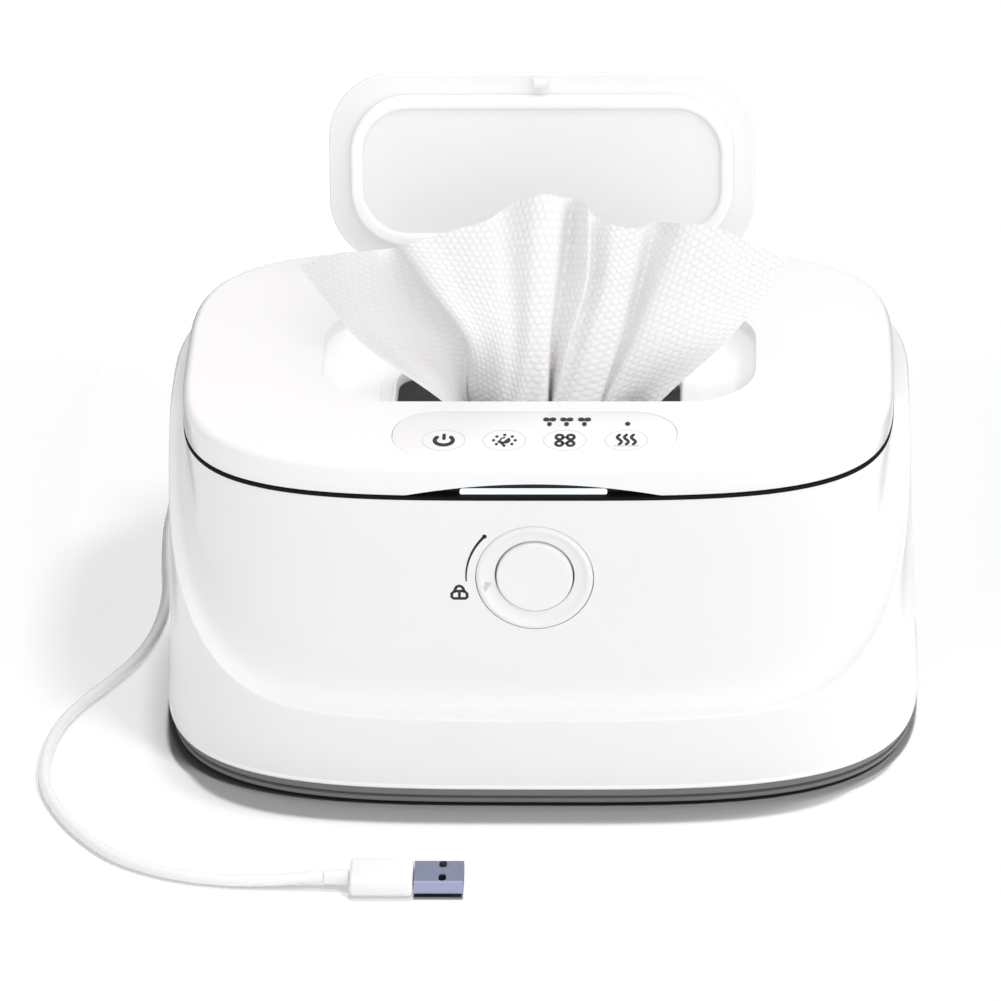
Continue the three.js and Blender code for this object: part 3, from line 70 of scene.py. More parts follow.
# %% [markdown]
# The camera comes first, because everything is seen through it. A product photo is taken from
# far away with a long lens, so upright edges stay upright and the near side does not swell. The
# place below is given as a distance, a height in degrees, and the turn of the object under it.

# %% Camera
MM = 0.001
image_side = 1001
focal_pixels = 8586.0
camera_distance = 2519.1
camera_rise = np.radians(28.807)
object_turn = np.radians(-2.302)
camera_roll = np.radians(-1.089)
aim_point = np.array([-12.052, 0.642, 58.654])


def turned_about_z(angle):
    """Matrix that turns a point round the upright axis."""
    c, s = np.cos(angle), np.sin(angle)
    return np.array([[c, -s, 0], [s, c, 0], [0, 0, 1]])


backwards = np.array([0, -np.cos(camera_rise), np.sin(camera_rise)])
level = np.array([1.0, 0, 0])
upwards = np.cross(backwards, level)
rightwards = np.cos(camera_roll) * level + np.sin(camera_roll) * upwards
upwards = np.cos(camera_roll) * upwards - np.sin(camera_roll) * level
unturn = turned_about_z(-object_turn)
camera_place = unturn @ (camera_distance * backwards + aim_point) * MM

camera = bpy.data.objects.new("camera", bpy.data.cameras.new("camera"))
bpy.context.scene.collection.objects.link(camera)
camera.data.sensor_width = 36
camera.data.lens = camera.data.sensor_width * focal_pixels / image_side
camera.data.clip_end = 20
camera_axes = Matrix((unturn @ np.array([rightwards, upwards, backwards]).T).tolist()).to_4x4()
camera.matrix_world = Matrix.Translation(camera_place.tolist()) @ camera_axes
bpy.context.scene.camera = camera
print("lens", round(camera.data.lens, 1), "mm, camera at", camera_place.round(3))

# %% [markdown]
# Nearly every piece below is a grid of points bent into a shape: rows of points, each row a ring
# or a line, with square faces between neighbours. Such a grid could be drawn by hand in edit mode,
# but as numbers it is exact and can be changed by one value. The helpers do the common work: they
# turn a grid into faces, close a stack of rings into a solid, and put points and faces into a
# Blender mesh whose faces look outwards and whose sharp edges are marked.

# %% Grids and meshes
smooth_angle = np.radians(32)


def grid_faces(rows, columns, wrap_rows=False, wrap_columns=False):
    """Corner numbers of the square faces between neighbours of a grid of rows by columns."""
    r = np.arange(rows if wrap_rows else rows - 1)[:, None]
    c = np.arange(columns if wrap_columns else columns - 1)[None, :]
    r_next, c_next = (r + 1) % rows, (c + 1) % columns
    corners = [r * columns + c, r * columns + c_next, r_next * columns + c_next, r_next * columns + c]
    return np.stack(np.broadcast_arrays(*corners), -1).reshape(-1, 4)


def signed_volume(points, faces):
    """Six times the volume inside the faces: each face makes a pyramid with the origin."""
    corners = points[faces]
    fan = [(0, k, k + 1) for k in range(1, faces.shape[1] - 1)]
    return sum(np.einsum("ij,ij->", corners[:, a], np.cross(corners[:, b], corners[:, c]))
               for a, b, c in fan)


def add_mesh(name, points, face_sets, smooth=None):
    """A new object from points, in millimetres, and one or more sets of faces."""
    points = np.asarray(points, float).reshape(-1, 3)
    if sum(signed_volume(points, faces) for faces in face_sets) < 0:
        face_sets = [faces[:, ::-1] for faces in face_sets]
    mesh = bpy.data.meshes.new(name)
    mesh.from_pydata((points * MM).tolist(), [], [face for faces in face_sets for face in faces.tolist()])
    mesh.shade_smooth()
    if smooth is not None:
        mesh.set_sharp_from_angle(angle=smooth)
    made = bpy.data.objects.new(name, mesh)
    bpy.context.scene.collection.objects.link(made)
    return made


def add_piece(name, body, slot, points, face_sets, smooth=smooth_angle, uv=None):
    """A new piece that rides on a body of the model. Its slot argument is not used."""
    piece = add_mesh(name, points, face_sets, smooth)
    if uv is not None:
        corner_points = np.zeros(len(piece.data.loops), int)
        piece.data.loops.foreach_get("vertex_index", corner_points)
        layer = piece.data.uv_layers.new(name="UVMap")
        layer.data.foreach_set("uv", np.asarray(uv)[corner_points].ravel())
    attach(piece, body)
    return piece


def cap_faces(points, ring_start, count):
    """A fan of triangles from a ring's middle point to its sides."""
    middle = points[ring_start:ring_start + count].mean(0)
    centre = len(points)
    k = np.arange(count)
    fan = np.stack([np.full(count, centre), ring_start + k, ring_start + (k + 1) % count], -1)
    return np.vstack([points, middle]), fan


def skinned(rings, closed=False):
    """Points and faces of a stack of rings. A closed stack returns to its first ring, and an open
    one gets a flat cap at each end."""
    rings = np.asarray(rings, float)
    rows, count = rings.shape[:2]
    points = rings.reshape(-1, 3)
    sides = grid_faces(rows, count, wrap_rows=closed, wrap_columns=True)
    if closed:
        return points, [sides]
    points, low = cap_faces(points, 0, count)
    points, high = cap_faces(points, (rows - 1) * count, count)
    return points, [sides, low[:, ::-1], high]


def add_skin(name, body, slot, rings, closed=False, **options):
    """A new piece from a stack of rings."""
    points, face_sets = skinned(rings, closed)
    return add_piece(name, body, slot, points, face_sets, **options)


print("mesh helpers ready, edges sharper than", round(np.degrees(smooth_angle)), "degrees stay sharp")

# %% [markdown]
# The lead is a thin white cable of fixed length. It leaves the strain relief low at the back,
# falls to the table, and what the photo does not show of it is wound into a flat coil of two
# layers behind the warmer. From there it runs round the left side to the plug in front. It could be
# a curve with a bevel, or rope physics; here it is a tube swept along a smooth line through chosen
# points, because then the whole length is one unbroken mesh with its own map for the material.

# %% The lead's route
cord_width = 3.4
exit_x, exit_height, relief_tip_y = -62.5, 18.0, 95.91
coil_radius, coil_pitch, coil_low, coil_rise = 26.4, 4.0, 3.0, 4.0
coil_centre = np.array([exit_x - coil_radius, 140.0])
plug_y, plug_height, plug_from_x = -121.4, 6.6, -52.0
plug_relief_from_x = plug_from_x - 7.3

first_stretch = np.array([
    [exit_x, relief_tip_y + 0.3, exit_height], [exit_x, relief_tip_y + 3.7, exit_height],
    [exit_x, 108, 16.6], [exit_x, 114, 13.2], [exit_x, 120, 9.1], [exit_x, 126, 5.7],
    [exit_x, 132, 3.6], [exit_x, 136.3, 3.0],
])
last_stretch = np.array([
    [-115.3, 136.3, 7.0], [-115.3, 130, 5.9], [-115.5, 121, 3.5], [-116, 111, 1.9],
    [-116.6, 98, 1.75], [-117.1, 84, 1.75], [-116.3, 65, 1.75], [-115, 46, 1.75],
    [-116.5, 24, 1.75], [-121.4, 6, 1.75], [-129, -9, 1.75], [-136.5, -22, 1.75],
    [-141.6, -35, 1.75], [-144, -50, 1.75], [-143.2, -67, 1.75], [-138.6, -81, 1.75],
    [-130.8, -95, 1.75], [-120, -107.6, 1.75], [-105, -116.4, 1.75], [-88, -120.6, 1.8],
    [-74, -121.4, 2.3], [plug_relief_from_x - 3.7, plug_y, 3.3],
    [plug_relief_from_x - 0.3, plug_y, 3.3],
])


def coil_line(turns_per_layer=3, climb_turns=0.5, points_per_turn=24, dip=0.9):
    """Spirals in on the lower layer, climbs over half a turn, and spirals out on the upper layer."""
    turns = np.arange((2 * turns_per_layer + climb_turns) * points_per_turn + 1) / points_per_turn
    climb = np.clip((turns - turns_per_layer) / climb_turns, 0, 1)
    inward = np.minimum(turns, turns_per_layer)
    outward = np.maximum(turns - turns_per_layer - climb_turns, 0)
    radius = coil_radius - coil_pitch * (inward - outward) - dip * np.sin(np.pi * climb)
    angle = 2 * np.pi * turns
    height = coil_low + coil_rise * (1 - np.cos(np.pi * climb)) / 2
    return np.stack([
        coil_centre[0] + radius * np.cos(angle), coil_centre[1] + radius * np.sin(angle), height,
    ], -1)


def smooth_line(points, step):
    """A Catmull-Rom line through the points, sampled about every step millimetres. Each stretch is a
    cubic whose end slopes come from its neighbours, weighted by the root of the distances."""
    points = np.asarray(points, float)
    padded = np.vstack([2 * points[0] - points[1], points, 2 * points[-1] - points[-2]])
    span = np.sqrt(np.linalg.norm(np.diff(padded, axis=0), axis=1))[:, None]
    before, at, to, after = padded[:-3], padded[1:-2], padded[2:-1], padded[3:]
    d0, d1, d2 = span[:-2], span[1:-1], span[2:]
    start = ((at - before) / d0 - (to - before) / (d0 + d1) + (to - at) / d1) * d1
    end = ((to - at) / d1 - (after - at) / (d1 + d2) + (after - to) / d2) * d1
    counts = np.maximum(np.ceil(np.linalg.norm(to - at, axis=1) / step).astype(int), 1)
    which = np.repeat(np.arange(len(counts)), counts)
    t = np.concatenate([np.arange(n) / n for n in counts])[:, None]
    line = ((2 * t ** 3 - 3 * t ** 2 + 1) * at[which] + (t ** 3 - 2 * t ** 2 + t) * start[which]
            + (3 * t ** 2 - 2 * t ** 3) * to[which] + (t ** 3 - t ** 2) * end[which])
    return np.vstack([line, points[-1]])


lead_line = smooth_line(np.vstack([first_stretch, coil_line(), last_stretch]), 1.2)
lead_places = np.concatenate([[0], np.cumsum(np.linalg.norm(np.diff(lead_line, axis=0), axis=1))])
print("lead", round(lead_places[-1]), "mm long,", len(lead_line), "points")

# %% [markdown]
# A tube along a line needs a frame at each point: the line's own direction, a sideways direction
# and an upward one. The lead never stands upright, so sideways is simply across the line and level.
# The tube's map runs along it in millimetres, which lets a material follow the cable.

# %% Tubes
def tube_rings(line, radii, sides, up=(0, 0, 1)):
    """Rings of points round a line: centre plus sideways times cosine plus upwards times sine."""
    line = np.asarray(line, float)
    ahead = np.gradient(line, axis=0)
    ahead /= np.linalg.norm(ahead, axis=1, keepdims=True)
    sideways = np.cross(ahead, up)
    sideways /= np.linalg.norm(sideways, axis=1, keepdims=True)
    above = np.cross(sideways, ahead)
    angle = 2 * np.pi * np.arange(sides) / sides
    radii = np.broadcast_to(radii, len(line))[:, None, None]
    around = (np.cos(angle)[None, :, None] * sideways[:, None]
              + np.sin(angle)[None, :, None] * above[:, None])
    return line[:, None] + radii * around


lead_sides = 16
lead_uv = np.stack(np.meshgrid(lead_places, np.arange(lead_sides) / lead_sides, indexing="ij"), -1)
lead_uv = np.vstack([lead_uv.reshape(-1, 2), lead_uv[0, 0], lead_uv[-1, -1]])
lead = add_skin("lead", "base", "white_cord", tube_rings(lead_line, cord_width / 2, lead_sides),
                uv=lead_uv)
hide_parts("cord_lead", "cord_coil", "cord_tail")
print("lead faces", len(lead.data.polygons))

# %% [markdown]
# Materials are written as expressions. A socket is wrapped in a small class, so that adding or
# multiplying it makes the Math node, and every other node comes from one method that is told the
# node's type, its settings and what goes into its sockets. Patterns read object coordinates, which
# are metres in the warmer's own frame, so a grain keeps its real size on every piece.

# %% Shader maths
class Value:
    """A socket whose arithmetic adds Math nodes."""

    def __init__(self, recipe, socket):
        self.recipe, self.socket = recipe, socket

    def maths(self, operation, *others):
        values = dict(enumerate([self, *others]))
        return self.recipe.node("ShaderNodeMath", {"operation": operation}, values)

    def __add__(self, other): return self.maths("ADD", other)
    def __mul__(self, other): return self.maths("MULTIPLY", other)
    def __truediv__(self, other): return self.maths("DIVIDE", other)
    def __sub__(self, other): return self.maths("SUBTRACT", other)

    def __rsub__(self, other):
        return self.recipe.node("ShaderNodeMath", {"operation": "SUBTRACT"}, {0: other, 1: self})

    def step(self, low, high):
        """0 below low, 1 above high, and a soft slope between."""
        settings = {"interpolation_type": "SMOOTHSTEP", "clamp": True}
        return self.recipe.node("ShaderNodeMapRange", settings, {0: self, 1: low, 2: high})


class Recipe:
    """One material: its nodes, its shader and the ways to feed it."""

    def __init__(self, name, **constants):
        self.material = bpy.data.materials.new(name)
        self.material.use_nodes = True
        self.tree = self.material.node_tree
        self.shader = self.tree.nodes["Principled BSDF"]
        self.feed(**constants)

    def node(self, kind, settings=None, values=None, output=0):
        """Adds a node, sets it up, fills its sockets with numbers or links, and gives one output."""
        made = self.tree.nodes.new(kind)
        for key, value in (settings or {}).items():
            setattr(made, key, value)
        self.fill(made, values or {})
        return Value(self, made.outputs[output])

    def fill(self, made, values):
        for key, value in values.items():
            if isinstance(value, Value):
                self.tree.links.new(value.socket, made.inputs[key])
            else:
                made.inputs[key].default_value = value

    def feed(self, **inputs):
        """Base_Color=... and so on: what reaches the shader."""
        self.fill(self.shader, {key.replace("_", " "): value for key, value in inputs.items()})

    def place(self):
        return self.node("ShaderNodeTexCoord", output="Object")

    def axis(self, name, where=None):
        return self.node("ShaderNodeSeparateXYZ", values={0: where or self.place()}, output=name)

    def noise(self, scale, detail=2.0, where=None):
        values = {"Vector": where or self.place(), "Scale": scale, "Detail": detail}
        return self.node("ShaderNodeTexNoise", values=values)

    def mixed(self, share, one, other):
        """One colour where share is 0, the other where it is 1."""
        return self.node("ShaderNodeMix", {"data_type": "RGBA"}, {0: share, 6: one, 7: other}, 2)

    def bumps(self, height, depth_mm, over=None):
        """Raises the surface where height is high, on top of another bump if one is given."""
        values = {"Height": height, "Distance": depth_mm * MM, "Strength": 1.0}
        if over:
            values["Normal"] = over
        bumped = self.node("ShaderNodeBump", values=values)
        self.feed(Normal=bumped)
        return bumped


def grey(level, warmth=0.0):
    """A near-neutral colour; warmth above zero leans to red, below zero to blue."""
    return (level * (1 + warmth), level, level * (1 - warmth), 1.0)


melt_scale, melt_detail, mould_grain_scale = 14.0, 3.0, 2600.0
clouding, sheen_drift = 0.02, 0.08


def moulded_plastic(name, colour, roughness, grain_depth, gloss=0.0, shine=0.5):
    """Injection-moulded plastic: an even colour that drifts a little with the melt, a sheen that
    drifts the same way, and the fine spark-eroded grain of the mould."""
    recipe = Recipe(name, IOR=1.5, Specular_IOR_Level=shine)
    drift = recipe.noise(melt_scale, melt_detail)
    darker = tuple(c * (1 - clouding) for c in colour[:3]) + (1.0,)
    recipe.feed(Base_Color=recipe.mixed(drift, darker, colour),
                Roughness=drift * sheen_drift + (roughness - sheen_drift / 2))
    if gloss:
        recipe.feed(Coat_Weight=gloss, Coat_Roughness=0.12)
    recipe.bumps(recipe.noise(mould_grain_scale, 1.0), grain_depth)
    return recipe


shell_white = moulded_plastic("shell_white", grey(0.9, 0.002), 0.3, 0.004, gloss=0.25)
inner_white = moulded_plastic("inner_white", grey(0.87, 0.002), 0.42, 0.006)
rim_white = moulded_plastic("rim_white", grey(0.95, 0.002), 0.35, 0.005, gloss=0.2)
cable_white = moulded_plastic("cable_white", grey(0.92), 0.45, 0.006)
base_dark = moulded_plastic("base_dark", grey(0.24, 0.01), 0.55, 0.02, shine=0.2)
dark_plastic = moulded_plastic("dark_plastic", grey(0.02), 0.6, 0.01, shine=0.2)
seal_black = moulded_plastic("seal_black", grey(0.008), 0.7, 0.01, shine=0.1)
plastics = (shell_white, inner_white, rim_white, cable_white, base_dark, dark_plastic, seal_black)
print("plastics made:", [made.material.name for made in plastics])

# %% [markdown]
# The body's plan is a rounded rectangle whose sides also bow a little. Such an outline is a
# superellipse: the sum of the two shares, each raised to one power, is always one. A power of two
# gives an ellipse and a high power nearly a rectangle. Drawing it from a list of arcs would work
# too, but one formula keeps the skirt, the lid and the tub alike. Plates have a plainer outline, a
# rectangle with round corners, and every soft edge is the same quarter turn of inset and height.

# %% Outlines
skirt_outline = (110.0, 77.5, 3.46)
core_outline = (102.85, 68.55, 3.73)
tub_outline = (94.0, 54.0, 4.6)
tub_centre_y = 4.0
around_body = np.arange(240) / 240 * 2 * np.pi


def outline_points(outline, angles, inset=0.0):
    """Half width and half depth, less the inset, times cosine and sine, times the reach that makes
    the two powers sum to one."""
    half_width, half_depth, power = outline
    across, along = np.cos(angles), np.sin(angles)
    reach = (np.abs(across) ** power + np.abs(along) ** power) ** (-1 / power)
    return np.stack([(half_width - inset) * across * reach, (half_depth - inset) * along * reach], -1)


def outline_depth(outline, x):
    """How far back the outline reaches at a place across it."""
    half_width, half_depth, power = outline
    return half_depth * (1 - (np.abs(x) / half_width) ** power) ** (1 / power)


def level_ring(outline, inset, z, centre_y=0.0):
    """A ring of the outline at one height, or at a height for each point."""
    ring = np.zeros((len(around_body), 3))
    ring[:, :2] = outline_points(outline, around_body, np.asarray(inset))
    ring[:, 1] += centre_y
    ring[:, 2] = z
    return ring


def lifted(outline, place, axis=2):
    """A flat outline as a ring: its place goes in along the axis that the outline leaves out."""
    return np.insert(np.asarray(outline, float), axis, place, axis=1)


def rounded_rectangle(size, corner, centre=(0.0, 0.0), axis=2, steps=12):
    """A rectangle with a quarter circle at each corner. What comes back draws it as a ring, for an
    inset and a place along the axis: the middles of the four circles stay, and the inset shortens
    their radius."""
    quarter = np.arange(steps + 1) / steps * np.pi / 2
    angles = np.concatenate([quarter + k * np.pi / 2 for k in range(4)])
    around = np.stack([np.cos(angles), np.sin(angles)], -1)
    quadrant = np.repeat([[1, 1], [-1, 1], [-1, -1], [1, -1]], steps + 1, axis=0)
    middles = np.array(centre) + quadrant * (np.array(size) / 2 - corner)
    return lambda inset, place: lifted(middles + (corner - inset) * around, place, axis)


def quarter_round(steps):
    """Angles from nought to a right angle, to round an edge."""
    return np.linspace(0, np.pi / 2, steps + 1)


def rounded_in(inset, z, reach, rise, steps):
    """Insets and heights round a lower edge: from reach further in at z, to upright at z + rise."""
    return [(inset + reach * (1 - np.sin(t)), z + rise * (1 - np.cos(t))) for t in quarter_round(steps)]


def rounded_over(inset, z, reach, rise, steps):
    """Insets and heights round an upper edge: from upright at z, to reach further in at z + rise."""
    return [(inset + reach * (1 - np.cos(t)), z + rise * np.sin(t)) for t in quarter_round(steps)]


def swept(ring, profile):
    """A ring at each inset and height of a profile."""
    return [ring(inset, z) for inset, z in profile]


def upright_skirt(inset, z): return level_ring(skirt_outline, inset, z)


def upright_core(inset, z): return level_ring(core_outline, inset, z)


print("outlines of", len(around_body), "points")

# %% [markdown]
# The housing is one moulding: a wide skirt, a narrower core that carries the lid, and between them
# a hollow sweep that starts low in front of the knob and climbs round both sides to the shoulder.
# Sculpting it would be quick but uneven. Here the sweep's height is a function of depth, two
# hyperbolas that round off a straight climb, and the hollow is a quarter ellipse from the skirt's
# edge up to the core.

# %% Sweep and hollow
housing_bottom, housing_top, housing_wall = 6.3, 96.7, 2.4
skirt_top_inset, core_foot_inset, edge_round = 2.6, 1.5, 0.8
lip_out, lip_round, lip_high, lip_end, skirt_start = 0.5, 0.4, 0.6, 1.3, 1.6
skirt_shares, cove_rows, inner_cove_rows = (0.25, 0.5, 0.75, 0.98), 15, 8
sweep_low, sweep_start, sweep_blend, sweep_slope = 27.5, -68.2, 7.0, 1.1
shoulder_height, cove_rise, shoulder_blend = 95.4, 6.5, 3.0
rim_width, ledge_width, ledge_top, ledge_height = 2.9, 2.3, 92.7, 1.2


def skirt_inset(z): return skirt_top_inset * (z - housing_bottom) / (housing_top - housing_bottom)


def core_inset(z): return core_foot_inset * (housing_top - z) / (housing_top - housing_bottom)


def sweep_height(y):
    """Low in front, then a straight climb, then level at the shoulder."""
    past = y - sweep_start
    climb = sweep_slope / 2 * (past + np.hypot(past, sweep_blend))
    under = shoulder_height - (sweep_low + climb)
    return shoulder_height - (under + np.hypot(under, shoulder_blend)) / 2


def sweep_ends(angles):
    """Height of the skirt's edge and of the core's foot at each angle."""
    skirt_y = outline_points(skirt_outline, angles, skirt_top_inset)[:, 1]
    core_y = outline_points(core_outline, angles)[:, 1]
    step = 0.07
    steepness = (sweep_height(core_y + step) - sweep_height(core_y - step)) / (2 * step)
    edge = sweep_height(skirt_y)
    climb = sweep_height(core_y) + cove_rise * np.hypot(1, steepness)
    roof = housing_top - edge_round
    foot = roof - (roof - climb + np.hypot(roof - climb, edge_round)) / 2
    return edge, np.maximum(foot, edge + edge_round)


sweep_edge, core_foot = sweep_ends(around_body)


def cove_ring(share, depth):
    """The hollow at a share of its quarter turn, moved into the wall by a depth."""
    turn = share * np.pi / 2
    outer = outline_points(skirt_outline, around_body,
                           skirt_inset(sweep_edge) + edge_round + depth * np.sin(turn))
    inner = outline_points(core_outline, around_body, core_inset(core_foot) + depth * np.sin(turn))
    ring = np.zeros((len(around_body), 3))
    ring[:, :2] = outer + (inner - outer) * np.sin(turn)
    ring[:, 2] = sweep_edge + (core_foot - sweep_edge) * (1 - np.cos(turn)) - depth * np.cos(turn)
    return ring


def skirt_ring(inset, z): return level_ring(skirt_outline, skirt_inset(z) + inset, z)


def core_ring(inset, z): return level_ring(core_outline, core_inset(z) + inset, z)


def housing_rings():
    """Outside from the bottom up, over the rim, down its inside and back to the bottom."""
    skirt_low, skirt_high = housing_bottom + skirt_start, sweep_edge - edge_round
    rim_round = edge_round / 2
    rim_low = housing_top - rim_round
    ledge_in, ledge_low = rim_width + ledge_width, ledge_top - ledge_height
    inner_top = np.maximum(ledge_low - 1, core_foot + edge_round)
    lip = rounded_in(-lip_out, housing_bottom, lip_out, lip_round, 3)
    lip += [(-lip_out, housing_bottom + lip_high), (0, housing_bottom + lip_end)]
    skirt = [(0, skirt_low + (skirt_high - skirt_low) * share) for share in skirt_shares]
    edge = rounded_over(0, skirt_high, edge_round, edge_round, 4)[:-1]
    core = [(0, core_foot + (rim_low - core_foot) * share) for share in (0.33, 0.67)]
    core += rounded_over(0, rim_low, rim_round, rim_round, 3)
    core += rounded_over(rim_width, rim_low, -rim_round, rim_round, 3)[::-1]
    core += [(rim_width, ledge_top), (ledge_in, ledge_top), (ledge_in, ledge_low),
             (housing_wall, inner_top)]
    rings = swept(skirt_ring, lip + skirt + edge)
    rings += [cove_ring(share, 0) for share in np.linspace(0, 1, cove_rows)]
    rings += swept(core_ring, core)
    rings += [cove_ring(share, housing_wall) for share in np.linspace(1, 0, inner_cove_rows)]
    inside = [(housing_wall, skirt_high - housing_wall), (housing_wall, housing_bottom)]
    return rings + swept(skirt_ring, inside)


print("sweep from", sweep_edge.min().round(1), "to", sweep_edge.max().round(1), "mm")

# %% [markdown]
# Holes for the knob, the lead and the hinges are cut afterwards with the Boolean modifier, as a
# designer subtracts a drill from a block. Cutting them in the grid itself would bend its rows. The
# modifier is applied at once, and its tools are thrown away.

# %% Cutting and joining
def tool(rings):
    """A solid for a Boolean, which is removed after use."""
    return add_mesh("tool", *skinned(rings))


def box_tool(low, high):
    """An upright box between two opposite corners."""
    low, high = np.array(low, float), np.array(high, float)
    plan = low[:2] + np.array([[0, 0], [1, 0], [1, 1], [0, 1]]) * (high - low)[:2]
    return tool([lifted(plan, z) for z in (low[2], high[2])])


def rod_tool(radius, axis, centre, low, high, sides=48):
    """A cylinder along axis 0, 1 or 2, through the centre, between two places on that axis."""
    ends = np.array([centre, centre], float)
    ends[:, axis] = low, high
    return tool(tube_rings(ends, radius, sides, up=(0, 1, 0) if axis == 2 else (0, 0, 1)))


def plate_tool(size, corner, centre, low, high):
    """An upright block with rounded corners."""
    return tool(swept(rounded_rectangle(size, corner, centre), ((0, low), (0, high))))


def apply_tools(piece, operation, *tools):
    """Joins or cuts the piece with each tool in turn, applies the result and removes the tool."""
    for made in tools:
        modifier = piece.modifiers.new("cut", "BOOLEAN")
        modifier.operation, modifier.solver, modifier.object = operation, "EXACT", made
        bpy.context.view_layer.update()
        evaluated = piece.evaluated_get(bpy.context.evaluated_depsgraph_get())
        result = bpy.data.meshes.new_from_object(evaluated)
        piece.modifiers.clear()
        old, piece.data = piece.data, result
        bpy.data.meshes.remove(old)
        bpy.data.objects.remove(made)
    piece.data.shade_smooth()
    piece.data.set_sharp_from_angle(angle=smooth_angle)


print("tools ready: box, rod and plate")

# %% [markdown]
# The housing's own details: the round window that the knob sits in, the boss that the strain
# relief is clamped in, and at the back the two ears on each side of both hinge knuckles. All are
# simple solids joined to the shell or taken from it, placed where the model has them.

# %% Housing
knob_height, knob_face_y, knob_window, knob_sides = 71.0, -68.42, 17.0, 128
lid_hinge_y, lid_hinge_z, lid_barrel_radius = 72.0, 97.6, 3.1
hinge_sides, knuckle_width, ear_width, gap = (-38.0, 38.0), 18.0, 5.0, 0.3
pin_hole, pin_reach, pin_hole_sides = 1.7, 14.6, 24
exit_boss, exit_pad_y, exit_hole = 7.4, 75.61, 4.2
hinge_line = (0, lid_hinge_y, lid_hinge_z)
exit_line, knob_line = (exit_x, 0, exit_height), (0, 0, knob_height)

housing = add_skin("housing", "base", "white_plastic", housing_rings(), closed=True)
ears = []
for side in hinge_sides:
    for toward in (-1, 1):
        middle = side + toward * ((knuckle_width + ear_width) / 2 + gap)
        low, high = middle - ear_width / 2, middle + ear_width / 2
        ears += [rod_tool(lid_barrel_radius, 0, hinge_line, low, high),
                 box_tool([low, lid_hinge_y - lid_barrel_radius, ledge_top],
                          [high, lid_hinge_y + lid_barrel_radius, lid_hinge_z])]
apply_tools(housing, "UNION", *ears, rod_tool(exit_boss, 1, exit_line, 70.5, exit_pad_y, 64))
half_room = knuckle_width / 2 + gap
knuckle_rooms = [box_tool([side - half_room, lid_hinge_y - lid_barrel_radius - 2 * gap, lid_hinge_z - 6],
                          [side + half_room, 81, lid_hinge_z + 6]) for side in hinge_sides]
pin_holes = [rod_tool(pin_hole, 0, hinge_line, side - pin_reach, side + pin_reach, pin_hole_sides)
             for side in hinge_sides]
apply_tools(housing, "DIFFERENCE", *knuckle_rooms, *pin_holes,
            rod_tool(knob_window, 1, knob_line, -72, -63, knob_sides),
            rod_tool(exit_hole, 1, exit_line, 66, 79))
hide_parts("outer_housing")
print("housing faces", len(housing.data.polygons))

# %% [markdown]
# Under the housing sits a dark base tray with a groove round its side, which is the thin light line
# in the photo's dark band, and four rubber feet. The tray is another stack of rings; the feet are a
# profile turned round an upright axis.

# %% Base tray and feet
def turned_rings(profile, centre, axis="z", sides=64):
    """A profile of radius and place turned round an axis through the centre."""
    profile = np.asarray(profile, float)
    angle = np.arange(sides) / sides * 2 * np.pi
    radius, place = profile[:, 0, None], np.repeat(profile[:, 1, None], sides, 1)
    a, b = radius * np.cos(angle), radius * np.sin(angle)
    return np.array(centre) + np.stack([a, b, place] if axis == "z" else [a, place, b], -1)


def rods_up(radius, places, low, high):
    """Upright cylinders at several places."""
    return [rod_tool(radius, 2, (x, y, 0), low, high) for x, y in places]


tray_low, tray_high, tray_inset = 1.2, 6.0, 0.7
groove_low, groove_high, groove_in, groove_slope = 2.75, 3.9, 2.0, 0.1
rim_out, rim_in, rim_high, tray_floor = 2.7, 4.5, 10.0, 3.6
boss_places = [(x, y) for x in (-85.4, 85.4) for y in (-58.85, 58.85)]
boss_radius, boss_bottom, boss_room, screw_hole, head_hole, head_depth = 4.4, 2.4, 4.7, 1.8, 3.2, 3.9
foot_places = [(-78, -46), (78, -46), (78, 46), (-78, 46)]
foot_pocket, pocket_depth, under_tray = 7.8, 2.2, -2

tray_profile = rounded_in(tray_inset, tray_low, edge_round, edge_round, 4)
tray_profile += [(tray_inset, groove_low), (groove_in, groove_low + groove_slope),
                 (groove_in, groove_high - groove_slope), (tray_inset, groove_high),
                 (tray_inset, tray_high)]
tray_profile += [(rim_out, tray_high), (rim_out, rim_high), (rim_in, rim_high), (rim_in, tray_floor)]
tray = add_skin("base_tray", "base", "dark_plastic", swept(upright_skirt, tray_profile))
apply_tools(tray, "UNION", *rods_up(boss_radius, boss_places, boss_bottom, tray_high))
apply_tools(tray, "DIFFERENCE", *rods_up(boss_room, boss_places, tray_high, rim_high + 3),
            *rods_up(screw_hole, boss_places, under_tray, tray_high + 3),
            *rods_up(head_hole, boss_places, under_tray, head_depth),
            *rods_up(foot_pocket, foot_places, under_tray, pocket_depth))
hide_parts("base_plate")

foot_profile = [[0.01, 0], [6.7, 0], [7.1, 0.1], [7.4, 0.4], [7.5, 0.8], [7.5, 1.9], [0.01, 1.9]]
feet = []
for number, (x, y) in enumerate(foot_places, 1):
    rings = turned_rings(foot_profile, (x, y, 0))
    foot = add_skin(f"rubber_foot_{number}", "base", "black_rubber", rings)
    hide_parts(f"foot_{number}")
    feet.append(foot)
print("tray faces", len(tray.data.polygons), "and feet", len(feet))

# %% [markdown]
# Inside stands the tub that holds the pack of wipes: tapering walls, a rounded foot and a flange
# that lies on the housing's ledge. A black seal lies on the flange and closes the seam to the lid.
# Its outer lip wraps over the housing's rim, so from outside it is the thin dark line under the lid:
# partly the real seal and partly painted shade of the seam's gap.

# %% Tub and seal
tub_floor, tub_wall, tub_taper, tub_drop, tub_rim_round = 24.0, 1.8, 3.0, 6.0, 0.6
flange_low, flange_top = 93.0, 95.0
lid_bottom, lid_top = 97.8, 107.5
hook_y, hook_room = -59.72, 7.6


def tub_ring(inset, z): return level_ring(tub_outline, inset, z, tub_centre_y)


